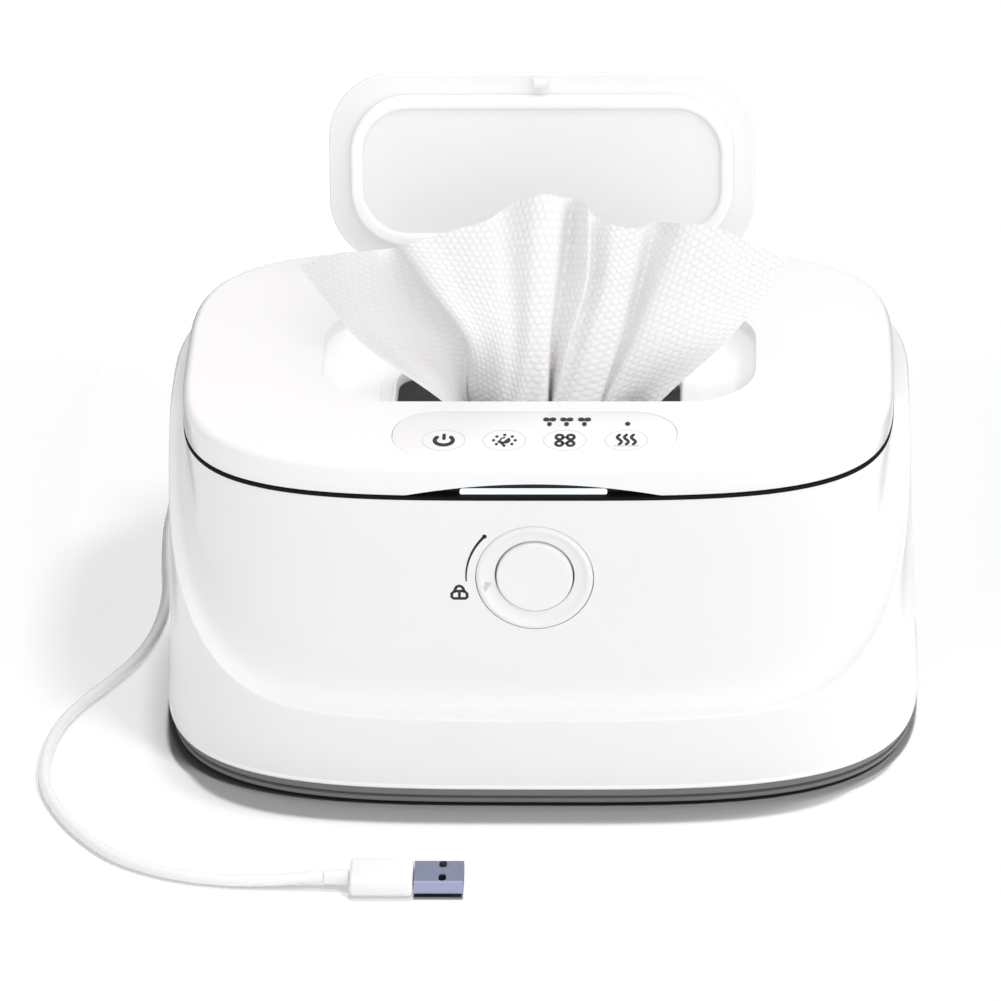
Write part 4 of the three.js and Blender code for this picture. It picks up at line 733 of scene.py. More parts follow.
outside = rounded_in(tub_taper - tub_wall, tub_floor - tub_wall, tub_drop, tub_drop, 7)
outside += [(-tub_wall, flange_low)]
flange = [(rim_width + gap, flange_low), (rim_width + gap, flange_top)]
inside = rounded_over(0, flange_top - tub_rim_round, -tub_rim_round, tub_rim_round, 3)[::-1]
inside += rounded_in(tub_taper, tub_floor, tub_drop, tub_drop, 7)[::-1]
tub_rings = swept(tub_ring, outside) + swept(upright_core, flange) + swept(tub_ring, inside)
liner_tub = add_skin("tub", "base", "inner_white_plastic", tub_rings)
apply_tools(liner_tub, "DIFFERENCE",
            box_tool([-hook_room, hook_y - 3.2, 90], [hook_room, hook_y + 1.6, 98]))
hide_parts("inner_tub")

# The outer lip wraps over the rim's edge, and its black there is partly painted shade of the seam.
seal_profile = [(3.5, 95.3), (3.5, 96.72), (0.4, 96.72), (0.0, 96.35), (-0.08, 96.4), (-0.08, 97.25),
                (0.1, 97.4), (3.7, 97.4), (4.0, 97.6), (4.4, 97.6), (4.8, 97.2), (5.9, 96.5), (7.7, 96.5),
                (7.7, 95.3)]
seal = add_skin("seam_seal", "base", "black_rubber", swept(upright_core, seal_profile), closed=True)
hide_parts("rim_seal")
print("tub faces", len(liner_tub.data.polygons), "and seal faces", len(seal.data.polygons))

# %% [markdown]
# The lid is a shallow shell with a soft upper edge. Its top has a long recess that the flip door
# closes, a shallower pocket behind it for the door's hinge, a flat seat for the touch panel, and in
# front a low arch that holds the light bar. The shell is two stacks of rings, one outside and one
# inside. The recess, the seat and the arch are cut out of it, and the recess's tool already has
# the curving wall of the moulding, so nothing has to be rounded afterwards.

# %% Lid
lid_wall, lid_edge, door_thickness = 2.4, 2.6, 2.2
recess_floor, recess_wall, recess_slope = 98.5, 2.0, 6.5
recess_size, recess_corner, recess_centre = (126.0, 58.8), 20.0, (0.0, -0.1)
pivot_y, pivot_z = 39.5, 104.6
pocket_half, pocket_front, pocket_back, pocket_floor = 24.3, 9.3, 45.2, 101.2
slot_size, slot_corner, slot_centre = (82.0, 26.0), 7.0, (0.0, -8.0)
panel_size, panel_corner, panel_centre = (81.0, 27.0), 13.0, (0.0, -49.5)
frame_room, panel_room, catch_room = 8.6, 0.6, ([-2.6, -29.1, 100.2], [2.6, -24.6, 105.3])
arch_half, arch_height = 37.0, 3.9
arch_radius = (arch_half ** 2 + arch_height ** 2) / (2 * arch_height)
pivot_line = (0, pivot_y, pivot_z)
above_lid = lid_top + 3


def bowl_tool(grow, drop, roof):
    """A bowl whose wall curves out from a smaller floor and stands upright at the mouth."""
    low, high = recess_floor - drop, lid_top - door_thickness
    share = np.linspace(0, 1, 9)
    inset, height = recess_slope * (1 - share) ** 1.25 - grow, low + share ** 1.6 * (high - low)
    recess_ring = rounded_rectangle(recess_size, recess_corner, recess_centre)
    return tool(swept(recess_ring, [*zip(inset, height), (-grow, roof)]))


def pocket_tool(grow, drop, roof):
    """The room that the flip door's tongue turns in."""
    return box_tool([-pocket_half - grow, pocket_front, pocket_floor - drop],
                    [pocket_half + grow, pocket_back + grow, roof])


def arch_tool(low, y_from, y_to, steps=24):
    """A prism under an arc, standing upright."""
    x = np.linspace(-arch_half, arch_half, steps + 1)
    roof = lid_bottom + arch_height - arch_radius + np.sqrt(arch_radius ** 2 - x ** 2)
    outline = np.vstack([np.c_[x, roof], [[arch_half, low], [-arch_half, low]]])
    return tool([lifted(outline, y, axis=1) for y in (y_from, y_to)])


lid = add_skin("lid", "lid", "white_plastic", swept(
    upright_core, rounded_in(0, lid_bottom, 0.3, 0.3, 2) + [(0, lid_bottom + 3.5)]
    + rounded_over(0, lid_top - lid_edge, lid_edge, lid_edge, 8)))
hollow = tool(swept(upright_core, [
    (lid_wall, lid_bottom - 3), (lid_wall, lid_top - lid_wall - 1.3),
    (lid_wall + 0.4, lid_top - lid_wall - 0.4), (lid_wall + 1.3, lid_top - lid_wall)]))
bowl = bowl_tool(recess_wall, recess_wall, lid_top - 0.5)
apply_tools(bowl, "UNION", pocket_tool(recess_wall, recess_wall, lid_top - 0.5))
apply_tools(lid, "DIFFERENCE", hollow)
apply_tools(lid, "UNION", bowl)
knuckles = []
for side in hinge_sides:
    low, high = side - knuckle_width / 2, side + knuckle_width / 2
    wall_y = outline_depth(core_outline, abs(side) + knuckle_width / 2) - lid_wall / 2
    knuckles += [rod_tool(lid_barrel_radius, 0, hinge_line, low, high),
                 box_tool([low, wall_y, lid_hinge_z + 1.4],
                          [high, lid_hinge_y, lid_hinge_z + lid_barrel_radius])]
apply_tools(lid, "UNION", *knuckles)
apply_tools(
    lid, "DIFFERENCE", bowl_tool(0, 0, above_lid), pocket_tool(0, 0, above_lid), box_tool(*catch_room),
    plate_tool(np.add(slot_size, frame_room), slot_corner + 4, slot_centre, 93.5, 101.5),
    plate_tool(np.add(panel_size, panel_room), panel_corner, panel_centre, 106.4, above_lid),
    arch_tool(94.8, -71.5, -65.85), rod_tool(1.4, 0, pivot_line, -25, 25, pin_hole_sides),
    *[rod_tool(pin_hole, 0, hinge_line, side - 12, side + 12, pin_hole_sides) for side in hinge_sides])
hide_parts("lid_shell")
print("lid faces", len(lid.data.polygons))

# %% [markdown]
# Under the lid's skin lies a liner with a rib round its edge, and in the recess's floor a white
# frame whose soft lip holds each wipe. The lip is thin and rounded, so its section is drawn with a
# rounded crest.

# %% Liner and slot frame
liner_inset, liner_wall, liner_low, liner_under, liner_top = 2.7, 1.8, 98.0, 99.8, 102.8
frame_low, frame_crest, crest_middle, crest_half, crest_high = 96.5, 99.7, 1.0, 0.6, 0.5

lid_liner = add_skin("lid_lining", "lid", "inner_white_plastic", swept(upright_core, [
    (liner_inset + 0.3, liner_low), (liner_inset, liner_low + 0.3), (liner_inset, liner_top),
    (liner_inset + liner_wall, liner_top), (liner_inset + liner_wall, liner_under)]))
apply_tools(lid_liner, "DIFFERENCE", bowl_tool(recess_wall + gap, recess_wall + 3, lid_top),
            pocket_tool(recess_wall + gap, recess_wall + gap, lid_top),
            box_tool([-38.5, -68.55, 95], [38.5, -60.6, lid_top]))
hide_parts("lid_liner")

frame_profile = [(4, frame_low), (4, recess_floor + 0.02), (5, recess_floor + 0.02),
                 (4.9, recess_floor + 0.12), (4.3, recess_floor + 0.22), (2.4, recess_floor + 0.3)]
frame_profile += [(crest_middle + crest_half * np.cos(t), frame_crest + crest_high * (np.sin(t) - 1))
                  for t in np.linspace(0, np.pi, 9)]
frame_profile += [(0, recess_floor), (0, frame_low)]
slot_ring = rounded_rectangle(slot_size, slot_corner, slot_centre)
slot_frame = add_skin("slot_frame_soft", "lid", "inner_white_plastic",
                      [slot_ring(-grow, z) for grow, z in frame_profile], closed=True)
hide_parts("slot_frame")
print("liner faces", len(lid_liner.data.polygons), "and slot frame faces", len(slot_frame.data.polygons))

# %% [markdown]
# In the arch under the lid's front edge sits a dark bezel with a slim bar of diffusing plastic that
# glows a cool white. The bar is a rounded slab, so its outline is a ring that stands upright, and
# its front edge is rounded.

# %% Light bar
bezel_y, bezel_depth, bezel_size, bezel_height = -65.27, 1.6, (76.4, 6.1), 100.65
bar_half, bar_low, bar_high, bar_reach, bar_edge = 21.0, 97.0, 98.6, 1.3, 0.45

bezel_ring = rounded_rectangle(bezel_size, 0.8, (0, bezel_height), axis=1)
bezel = add_skin("bar_bezel", "lid", "dark_plastic",
                 swept(bezel_ring, ((0, bezel_y), (0, bezel_y + bezel_depth))))
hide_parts("light_bezel")
bar_size = (2 * bar_half, bar_high - bar_low)
bar_ring = rounded_rectangle(bar_size, bar_size[1] / 2 - 0.01, (0, (bar_high + bar_low) / 2), axis=1)
light_bar = add_skin("glow_bar", "lid", "light_bar", swept(
    bar_ring, rounded_in(0, bezel_y - bar_reach, bar_edge, bar_edge, 4) + [(0, bezel_y - 0.02)]))
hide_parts("light_bar")
print("bar", bar_size, "mm")

# %% [markdown]
# The panel is a thin glossy window let into the lid's top, flush with it. Only its edge shows, so a
# plate with a small bevel is enough; its printing follows further down.

# %% Panel
panel_ring = rounded_rectangle(np.add(panel_size, 0.4), panel_corner, panel_centre)
overlay = add_skin("touch_window", "lid", "touch_panel", swept(
    panel_ring, ((0, 106.7), (0, lid_top - 0.2), (0.06, lid_top - 0.06), (0.2, lid_top))))
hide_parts("panel_overlay")
print("panel", panel_size, "mm")

# %% [markdown]
# The flip door is drawn lying closed and then turned open about its pin, as the real one is made
# and hung. It has a flange, a raised rim that seals against the recess, a sunken inner panel, a
# small hook at its free edge, and a tongue with the barrel that runs on the steel pin.

# %% Flip door
door_open = np.radians(102.0)
door_gap, door_edge, door_under_edge = 0.6, 0.9, 0.45
flange_width, rim_band, rim_depth, rim_fullness = 6.2, 3.9, 3.8, 4.0
rim_draft, rim_round, panel_overlap, panel_depth, panel_round = 0.1, 1.1, 0.6, 2.2, 0.9
barrel_radius, door_pin_hole, tongue_half, tongue_from = 2.6, 1.175, 20, 23.7
tongue_top = pivot_z + barrel_radius
door_low = lid_top - door_thickness
door_under = door_low - gap
door_size, door_corner = np.subtract(recess_size, 2 * door_gap), recess_corner - door_gap
door_ring = rounded_rectangle(door_size, door_corner, recess_centre, steps=20)
rim_ring = rounded_rectangle(door_size, door_corner + rim_fullness, recess_centre, steps=20)


def opened(points):
    """Turns points drawn on the closed door about the pin to where the open door is."""
    points = np.asarray(points, float)
    y, z = points[..., 1] - pivot_y, points[..., 2] - pivot_z
    return np.stack([points[..., 0], pivot_y + y * np.cos(door_open) + z * np.sin(door_open),
                     pivot_z - y * np.sin(door_open) + z * np.cos(door_open)], -1)


def opened_tool(made):
    """Turns a Boolean's tool the same way."""
    points = np.zeros(len(made.data.vertices) * 3)
    made.data.vertices.foreach_get("co", points)
    made.data.vertices.foreach_set("co", (opened(points.reshape(-1, 3) / MM) * MM).ravel())
    return made


def door_finish():
    """The lid's white outside. The inner face is spark-eroded and rougher, and its darker grey is painted
    shade.
    """
    recipe = Recipe("door_white", IOR=1.5)
    drift = recipe.noise(melt_scale, melt_detail)
    inward = np.subtract(opened([0, pivot_y, pivot_z - 1]), opened(pivot_line))
    level = float(np.dot(opened([0, pivot_y, door_under]), inward)) * MM
    depth = recipe.axis("Y") * float(inward[1]) + recipe.axis("Z") * float(inward[2])
    inside = depth.step(level - 0.4 * MM, level - 0.2 * MM)
    outer = recipe.mixed(drift, grey(0.88, 0.002), grey(0.9, 0.002))
    # The inner face's darker grey is painted shade.
    inner = recipe.mixed(drift, grey(0.78, 0.002), grey(0.8, 0.002))
    recipe.feed(Base_Color=recipe.mixed(inside, outer, inner),
                Roughness=drift * sheen_drift + (inside * 0.2 + 0.26))
    recipe.bumps(recipe.noise(mould_grain_scale, 1.0), 0.005)
    return recipe


door = add_skin("door_plate", "door", "white_plastic", opened(swept(
    door_ring, rounded_in(0, door_low, door_under_edge, door_under_edge, 3)
    + rounded_over(0, lid_top - door_edge, door_edge, door_edge, 5))))
tongue = box_tool([-tongue_half, tongue_from, tongue_top - door_thickness],
                  [tongue_half, pivot_y, tongue_top])
barrel = rod_tool(barrel_radius, 0, pivot_line, -tongue_half, tongue_half)
apply_tools(door, "UNION", opened_tool(tongue), opened_tool(barrel))
apply_tools(door, "DIFFERENCE", opened_tool(
    rod_tool(door_pin_hole, 0, pivot_line, -tongue_half - 3, tongue_half + 3, 32)))
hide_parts("flip_door")

rim_low, rim_inner = door_under - rim_depth, flange_width + rim_band
rim_profile = [(flange_width, door_under), (flange_width + rim_draft, rim_low + rim_round)]
rim_profile += rounded_in(flange_width + rim_draft, rim_low, rim_round, rim_round, 5)[::-1]
rim_profile += rounded_in(rim_inner - rim_draft, rim_low, -rim_round, rim_round, 5)
rim_profile += [(rim_inner, door_under)]
door_rim = add_skin("door_rim", "door", "inner_white_plastic", opened(swept(rim_ring, rim_profile)),
                    closed=True)
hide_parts("door_seal")

panel_inset = rim_inner - panel_overlap
door_panel = add_skin("door_panel", "door", "inner_white_plastic", opened(swept(
    rim_ring, rounded_in(panel_inset, door_under - panel_depth, panel_round, panel_round, 5)
    + [(panel_inset, door_under)])))
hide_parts("door_liner")

catch_front, catch_low = -28.4, 101.0
catch_high = door_under - catch_low
hook_section = np.add((catch_front, catch_low), [
    [0.9, catch_high], [0.9, 1.3], [0.75, 1.0], [0.1, 0.85], [0, 0.6], [0.15, 0.2], [0.6, 0], [2.4, 0],
    [2.9, 0.25], [3.1, 0.8], [3.1, catch_high]])
catch = add_skin("door_hook", "door", "white_plastic",
                 opened([lifted(hook_section, x, axis=0) for x in (-2, 2)]))
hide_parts("door_catch")
print("door faces", [len(made.data.polygons) for made in (door, door_rim, door_panel, catch)])

# %% [markdown]
# The knob is turned work: a ring round a button, each a profile revolved round the line that runs
# into the front wall. The ring's face is dished, and the button is slightly crowned the other way,
# which gives the two fine grey circles of the photo.

# %% Knob
def knob_rings(profile):
    """Radius and depth behind the ring's face, revolved round the knob's line."""
    return turned_rings([(radius, knob_face_y + depth) for radius, depth in profile],
                        knob_line, axis="y", sides=knob_sides)


ring_profile = [(11.35, 3.8), (11.35, 1.6), (11.5, 1.25), (11.9, 1.12), (12.8, 1.08), (13.8, 0.86),
                (14.5, 0.5), (15.0, 0.14), (15.4, 0), (15.9, 0.05), (16.5, 0.3), (16.82, 0.75),
                (16.88, 1.2), (16.88, 3.8)]
knob_ring = add_skin("knob_ring", "ring", "white_plastic", knob_rings(ring_profile), closed=True)
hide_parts("lock_ring")

button_profile = [(0.01, 0.35), (3, 0.34), (6, 0.24), (8.5, 0.1), (9.9, 0.02), (10.4, 0.06),
                  (10.75, 0.25), (10.9, 0.6), (10.95, 1.0), (10.95, 3.0), (3, 3.0), (3, 11.5), (0.01, 11.5)]
button = add_skin("knob_button", "button", "white_plastic", knob_rings(button_profile))
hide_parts("release_button")
print("knob faces", len(knob_ring.data.polygons), "and", len(button.data.polygons))

# %% [markdown]
# The marks are pad printed: a film of ink too thin to feel, on the panel, the ring and the wall. An
# image could carry them, but it would blur close up, so each mark is drawn as strokes. A stroke is
# a ribbon a few hundredths of a millimetre thick that follows a path and ends in half circles, and
# what it lies on decides how the drawing's two axes become three.

# %% Strokes and dots
ink_low, ink_high = -0.05, 0.03
up_stretch = 1.6


def stroke(path, width, closed=False):
    """Across, up and lift of a ribbon's four corners at each place along its path."""
    path = np.asarray(path, float)
    half = np.broadcast_to(np.asarray(width, float), len(path)) / 2
    ahead = np.roll(path, -1, 0) - np.roll(path, 1, 0) if closed else np.gradient(path, axis=0)
    ahead /= np.linalg.norm(ahead, axis=1, keepdims=True)
    if not closed:
        turn = np.linspace(0.15, np.pi / 2, 5)[:-1, None]
        first = path[0] - ahead[0] * half[0] * np.cos(turn)
        last = path[-1] + ahead[-1] * half[-1] * np.cos(turn[::-1])
        path = np.vstack([first, path, last])
        half = np.concatenate([half[0] * np.sin(turn[:, 0]), half, half[-1] * np.sin(turn[::-1, 0])])
        ahead = np.vstack([np.repeat(ahead[:1], 4, 0), ahead, np.repeat(ahead[-1:], 4, 0)])
    side = np.stack([-ahead[:, 1], ahead[:, 0]], -1) * half[:, None]
    corners = [np.c_[path + toward * side, np.full(len(path), lift)]
               for toward, lift in ((1, ink_low), (1, ink_high), (-1, ink_high), (-1, ink_low))]
    return skinned(np.stack(corners, 1), closed)


def ellipse(radius_across, radius_up, start=0.0, end=360.0, steps=32):
    """Cosine across and sine up, each times its radius, from one angle to another."""
    angles = np.radians(np.linspace(start, end, steps + 1))
    return np.stack([radius_across * np.cos(angles), radius_up * np.sin(angles)], -1)


def patch(outline):
    """A filled mark: its outline, low and high."""
    return skinned([lifted(outline, lift) for lift in (ink_low, ink_high)])


def dot(radius, centre=(0.0, 0.0)):
    """A filled circle."""
    return patch(ellipse(radius, radius, steps=24)[:-1] + centre)


def joined(parts, shift=(0.0, 0.0), stretch=1.0):
    """Several closed solids as one, stretched upwards and moved."""
    points, face_sets = [], []
    for part_points, part_faces in parts:
        face_sets += [faces + sum(len(p) for p in points) for faces in part_faces]
        points.append(part_points * (1, stretch, 1) + (*shift, 0))
    return np.vstack(points), face_sets


def add_marks(name, body, slot, drawing, surface):
    """A piece of ink: the surface turns across, up and lift into a place."""
    points, face_sets = drawing
    return add_piece(name, body, slot, surface(*points.T), face_sets)


print("a stroke is", round(ink_high - ink_low, 2), "mm thick")

# %% [markdown]
# The panel's signs are the usual ones for such a warmer: a switch, a lamp, a two-digit display and
# rising heat, with small lights above. The photo sees the top of the lid at a slant, which flattens
# everything on it, so each sign is stretched away from the eye.

# %% Printed marks
def on_panel(across, up, lift):
    """The panel's flat top."""
    return np.stack([panel_centre[0] + across, panel_centre[1] + up, lid_top + lift], -1)


switch_sign = joined([stroke(ellipse(2.6, 1.75, 140, 400), 1.2),
                      stroke([(0, 0.6), (0, 1.3), (0, 2.0)], 1.0)])
rays = [dot(0.48, (3.1 * np.cos(a), 2.0 * np.sin(a))) for a in np.arange(8) * np.pi / 4]
half_disc = ellipse(1.5, 1.3, -130, 50, 16)
lamp_sign = joined([*rays, patch(half_disc + (0.25, 0.05)),
                    stroke(ellipse(1.3, 1.1, 90, 180, 8) * 0.9, 0.5),
                    stroke([(-1.5, -0.5), (-0.9, -0.75), (-0.5, -1.3)], 0.9)])
digit_sign = joined([stroke(ellipse(1.0, 0.85)[:-1] + (x, y), 0.9, closed=True)
                     for x in (-1.6, 1.6) for y in (-1.2, 1.2)]
                    + [stroke([(-0.7, y), (0.7, y)], 0.5) for y in (-1.1, 1.1)])
rise = np.linspace(-1, 1, 17)
heat_sign = joined([stroke(np.stack([x - 0.62 * np.sin(np.pi * rise), 0.3 + 1.75 * rise], -1), 0.9)
                    for x in (-2.0, 0.0, 2.0)])
light_mark = joined([stroke([(-1.15, 0.9), (-0.6, 0.86), (0, 0.82), (0.6, 0.86), (1.15, 0.9)],
                            (1.5, 1.5, 0.9, 1.5, 1.5)),
                     patch(ellipse(0.7, 0.85, steps=24)[:-1] + (0, -0.85))])
sign_places, sign_row = (-25.8, -8.5, 8.8, 26.3), -3.5
light_places, light_row, single_light = (4.1, 9.0, 14.1), 7.6, (26.5, 6.4)
signs = zip((switch_sign, lamp_sign, digit_sign, heat_sign), sign_places)
panel_marks = add_marks("panel_marks", "lid", "dark_plastic", joined([
    *[joined([sign], (x, sign_row), up_stretch) for sign, x in signs],
    *[joined([light_mark], (x, light_row), up_stretch) for x in light_places],
    joined([dot(0.78)], single_light, up_stretch)]), on_panel)
key_circle = stroke(ellipse(6.1, 6.1)[:-1], 0.3, closed=True)
underline = stroke([(-3.4, 0), (0, 0), (3.4, 0)], 0.9)
panel_rings = add_marks("panel_rings", "lid", "soft_grey_rubber", joined(
    [joined([key_circle], (x, sign_row)) for x in sign_places]
    + [joined([underline], (sign_places[-1], sign_row - 3.3))]), on_panel)


def on_front(across, up, lift):
    """The front wall: the core's outline less its slope, read as a depth."""
    inset = core_inset(knob_height + up)
    depth = outline_depth((core_outline[0] - inset, core_outline[1] - inset, core_outline[2]), across)
    return np.stack([across, -depth - lift, knob_height + up], -1)


lock_arc = ellipse(19.6, 19.6, 183, 136, 24)
arc_widths = np.linspace(0.4, 0.85, len(lock_arc))
lock_body = [(-1.75, -1.95), (1.75, -1.95), (2.2, -1.5), (2.2, -0.4), (1.5, 0.5), (-1.5, 0.5), (-2.2, -0.4),
             (-2.2, -1.5)]
padlock = [stroke(lock_body, 0.85, closed=True), stroke(ellipse(1.3, 1.9, 0, 180, 16) + (0, 0.3), 0.85),
           stroke([(0, -1.5), (0, -0.7), (0, 0.1)], 0.8)]
front_marks = add_marks("front_marks", "base", "dark_plastic", joined(
    [stroke(lock_arc, arc_widths), dot(0.68, lock_arc[-1]), joined(padlock, (-21.6, -4.9))]), on_front)


def on_ring(across, up, lift):
    """The ring's dished face."""
    radius, depth = np.array(sorted(ring_profile[3:-2])).T
    return np.stack([across, knob_face_y + np.interp(np.hypot(across, up), radius, depth) - lift,
                     knob_height + up], -1)


arrow = [(-15.9, -0.8), (-15.0, -2.7), (-14.1, -4.6), (-13.2, -3.4), (-12.3, -2.2), (-14.1, -1.5)]
pointer = add_marks("ring_pointer", "ring", "soft_grey_rubber", patch(arrow), on_ring)
print("marks made:", [made.name for made in (panel_marks, panel_rings, front_marks, pointer)])

# %% [markdown]
# Behind the button a steel coil spring pushes it out again. A spring is a tube along a helix, and
# when the button goes in the spring gets shorter.

# %% Spring
coil_turns, points_per_turn, spring_radius, wire_radius, button_travel = 3.5, 24, 5, 0.4, 2
spring_from, spring_to = knob_face_y + 3.7, knob_face_y + 7.4
turns = np.arange(coil_turns * points_per_turn + 1) / points_per_turn
spring_line = np.stack([spring_radius * np.cos(2 * np.pi * turns),
                        spring_from + (spring_to - spring_from) * turns / turns[-1],
                        knob_height + spring_radius * np.sin(2 * np.pi * turns)], -1)
spring = add_skin("spring", "base", "steel", tube_rings(spring_line, wire_radius, 8, up=(0, 1, 0)))
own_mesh(spring)
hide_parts("button_spring")

# %% [markdown]
# The wipe is one moist sheet of soft nonwoven cloth. It stands out of the slot, fans out in deep
# folds and leans back over the recess. A cloth simulation would need the pack below it and would
# slump, so the folds are given as ribs: each rib is a line up the cloth, and neighbours lie
# in front of or behind each other. A smooth surface is then drawn through the ribs both ways.

# %% Wipe
rib_rows = np.array([
    [(-25.4, -19.5, 100), (-24.4, -16, 100), (-22.9, -12.5, 100), (-21.1, -10, 100),
     (-20, -10.5, 100), (-15.4, -14, 100), (-9.5, -18, 100), (-6.6, -19.5, 100),
     (-3.4, -20.3, 100), (2.4, -20.3, 100), (3.2, -13, 100), (4.4, -20.2, 100),
     (5.6, -19.3, 100), (9.3, -20.3, 100), (16.9, -20.3, 100), (18.1, -17, 100),
     (19.7, -19, 100), (25.2, -16, 100), (30.1, -14, 100), (34.5, -18.5, 100)],
    [(-49.9, -7.9, 113.8), (-41.7, -9.6, 114.7), (-31.2, -10.6, 115.6), (-21.6, -10.6, 116.9),
     (-20.1, -18.9, 121.2), (-14.9, -18.9, 121.6), (-9.7, -18.4, 121.3), (-6, -17, 120.9),
     (-1.9, -18.4, 121.9), (3.5, -16.7, 121.4), (4.8, -12, 118.9), (9.3, -17.2, 121),
     (10.9, -15.1, 119.5), (15, -17.8, 120.6), (22.5, -17.2, 119.7), (25, -14.5, 117.9),
     (27.7, -18.9, 119.9), (35.5, -18.9, 119.6), (44.1, -17.2, 118.1), (53.3, -15.1, 117.9)],
    [(-60.3, 2.2, 121.6), (-51.7, -0.4, 124.6), (-42, -2, 126.8), (-32.1, -2, 128.7),
     (-30.3, -14.8, 136), (-21.1, -14.8, 136.9), (-11.9, -13.9, 137.8), (-7.1, -11.8, 138),
     (-1.2, -13.9, 140.4), (5.3, -11.4, 139.7), (7.7, -4.2, 136), (14.2, -12.2, 138.5),
     (15.9, -8.8, 136.1), (20, -13.1, 137.3), (26.6, -12.2, 135.3), (29.9, -8, 132.4),
     (34.1, -14.8, 135.6), (43.3, -14.8, 135.3), (53.3, -12.2, 132.3), (63.4, -8.8, 128)],
    [(-69.5, 10.4, 130.8), (-58.1, 7.4, 136.2), (-48.1, 5.4, 138.9), (-40.9, 5.4, 139.2),
     (-38.9, -9.6, 147.9), (-27.6, -9.6, 151.6), (-15.2, -8.6, 154.4), (-8.3, -6.1, 158.9),
     (0.4, -8.6, 163.1), (6.9, -5.6, 161.7), (10.4, 2.9, 156.5), (14.9, -6.6, 158.2),
     (16.8, -2.6, 153.9), (21.8, -7.6, 153.2), (30.1, -6.6, 152.2), (34, -1.6, 150.7),
     (42.2, -9.6, 155.2), (52.8, -9.6, 152.6), (62.2, -6.6, 146.9), (72, -2.6, 139)],
])


def curve_weights(count, samples):
    """Matrix that takes control points to samples of the smooth line through them: each sample is a
    cubic blend of the four nearest."""
    place = np.linspace(0, count - 1, samples)
    first = np.minimum(place.astype(int), count - 2)
    t = place - first
    shares = (-t / 2 + t ** 2 - t ** 3 / 2, 1 - 2.5 * t ** 2 + 1.5 * t ** 3,
              t / 2 + 2 * t ** 2 - 1.5 * t ** 3, -t ** 2 / 2 + t ** 3 / 2)
    weights = np.zeros((samples, count))
    for offset, share in zip((-1, 0, 1, 2), shares):
        np.add.at(weights, (np.arange(samples), np.clip(first + offset, 0, count - 1)), share)
    return weights


pack_middle = (4, -10)
slot_height, tail_heights, pressed_height = 100, (70.0, 88.0), 0.0995


def tail_row(height, narrowing, depth_share):
    """The cloth below the slot: the lowest rib row, drawn in towards the pack's middle."""
    row = rib_rows[0].copy()
    row[:, :2] = pack_middle + (row[:, :2] - pack_middle) * (narrowing, depth_share)
    row[:, 2] = height
    return row


wipe_rows, wipe_columns = 97, 267
rib_rows = np.stack([tail_row(tail_heights[0], 0.8, 0.2), tail_row(tail_heights[1], 0.92, 0.8), *rib_rows])
wipe_grid = np.einsum("ri,cj,ijk->rck", curve_weights(len(rib_rows), wipe_rows),
                      curve_weights(rib_rows.shape[1], wipe_columns), rib_rows)
across, along = np.meshgrid(np.linspace(0, 1, wipe_columns), np.linspace(0, 1, wipe_rows))
pleats = np.clip(1 - np.abs(along - 0.42) / 0.34, 0, 1) ** 1.5
wipe_grid[..., 1] += 0.3 * pleats * np.sin(2 * np.pi * (13 * across + 0.8 * np.sin(5 * across)))
wipe_grid[..., 2] += 0.5 * along ** 6 * np.sin(2 * np.pi * (7 * across + 1.3 * across ** 2))


def lengths_along(grid, axis):
    """Distance walked over the cloth from the first row or column."""
    steps = np.linalg.norm(np.diff(grid, axis=axis), axis=-1)
    start = np.zeros_like(np.take(steps, [0], axis))
    return np.concatenate([start, np.cumsum(steps, axis)], axis)


across_mm, along_mm = lengths_along(wipe_grid, 1), lengths_along(wipe_grid, 0).mean(1)
slot_row = np.argmin(np.abs(wipe_grid[..., 2].mean(1) - slot_height))
widths = across_mm[:, -1]
fan_reach = along_mm + (widths[slot_row] * along_mm[-1] - widths[-1] * along_mm[slot_row]) / (
    widths[-1] - widths[slot_row])
fan_turn = (across_mm[-1] - widths[-1] / 2) / fan_reach[-1]
wipe_uv = (fan_reach[:, None, None] * np.stack([np.sin(fan_turn), np.cos(fan_turn)], -1)).reshape(-1, 2)
wipe = add_piece("wipe_sheet", "lid", "wet_wipe", wipe_grid.reshape(-1, 3),
                 [grid_faces(wipe_rows, wipe_columns)], smooth=None, uv=wipe_uv)
print("wipe: top edge", widths[-1].round(), "mm, at the slot", widths[slot_row].round(), "mm, length",
      along_mm[-1].round(), "mm")
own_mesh(wipe)
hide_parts("popup_wipe")

# %% [markdown]
# At the back the strain relief grips the lead: a flange, a neck clamped in the wall, and a tapered
# sleeve with grooves so that it bends evenly. The plug has a short sleeve, a blocky white body, a
# folded steel shell with two windows, and a dark tongue inside. A band ties the coil.

# %% Strain relief, plug and tie
relief_profile = [(0.01, 67.75), (5.8, 67.75), (5.8, 69.15), (3.9, 69.15), (3.9, 75.91), (5.5, 75.91),
                  (5.8, 76.2), (5.8, 77.0), (5.5, 77.31), (4.3, 78.0)]
for k in range(6):
    y, wide = 79.4 + 2.6 * k, 3.8 - 0.26 * k
    relief_profile += [(wide, y), (wide, y + 1.4), (wide - 0.6, y + 1.7), (wide - 0.6, y + 2.3)]
relief_profile += [(2.4, 95.3), (2.1, relief_tip_y), (0.01, relief_tip_y)]
relief = add_skin("strain_relief", "base", "white_cord",
                  turned_rings(relief_profile, exit_line, axis="y", sides=48))
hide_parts("cable_relief")


def plug_ring(width, height, corner):
    """A rounded rectangle across the plug's line."""
    return rounded_rectangle((width, height), corner, (plug_y, plug_height / 2), axis=0, steps=8)


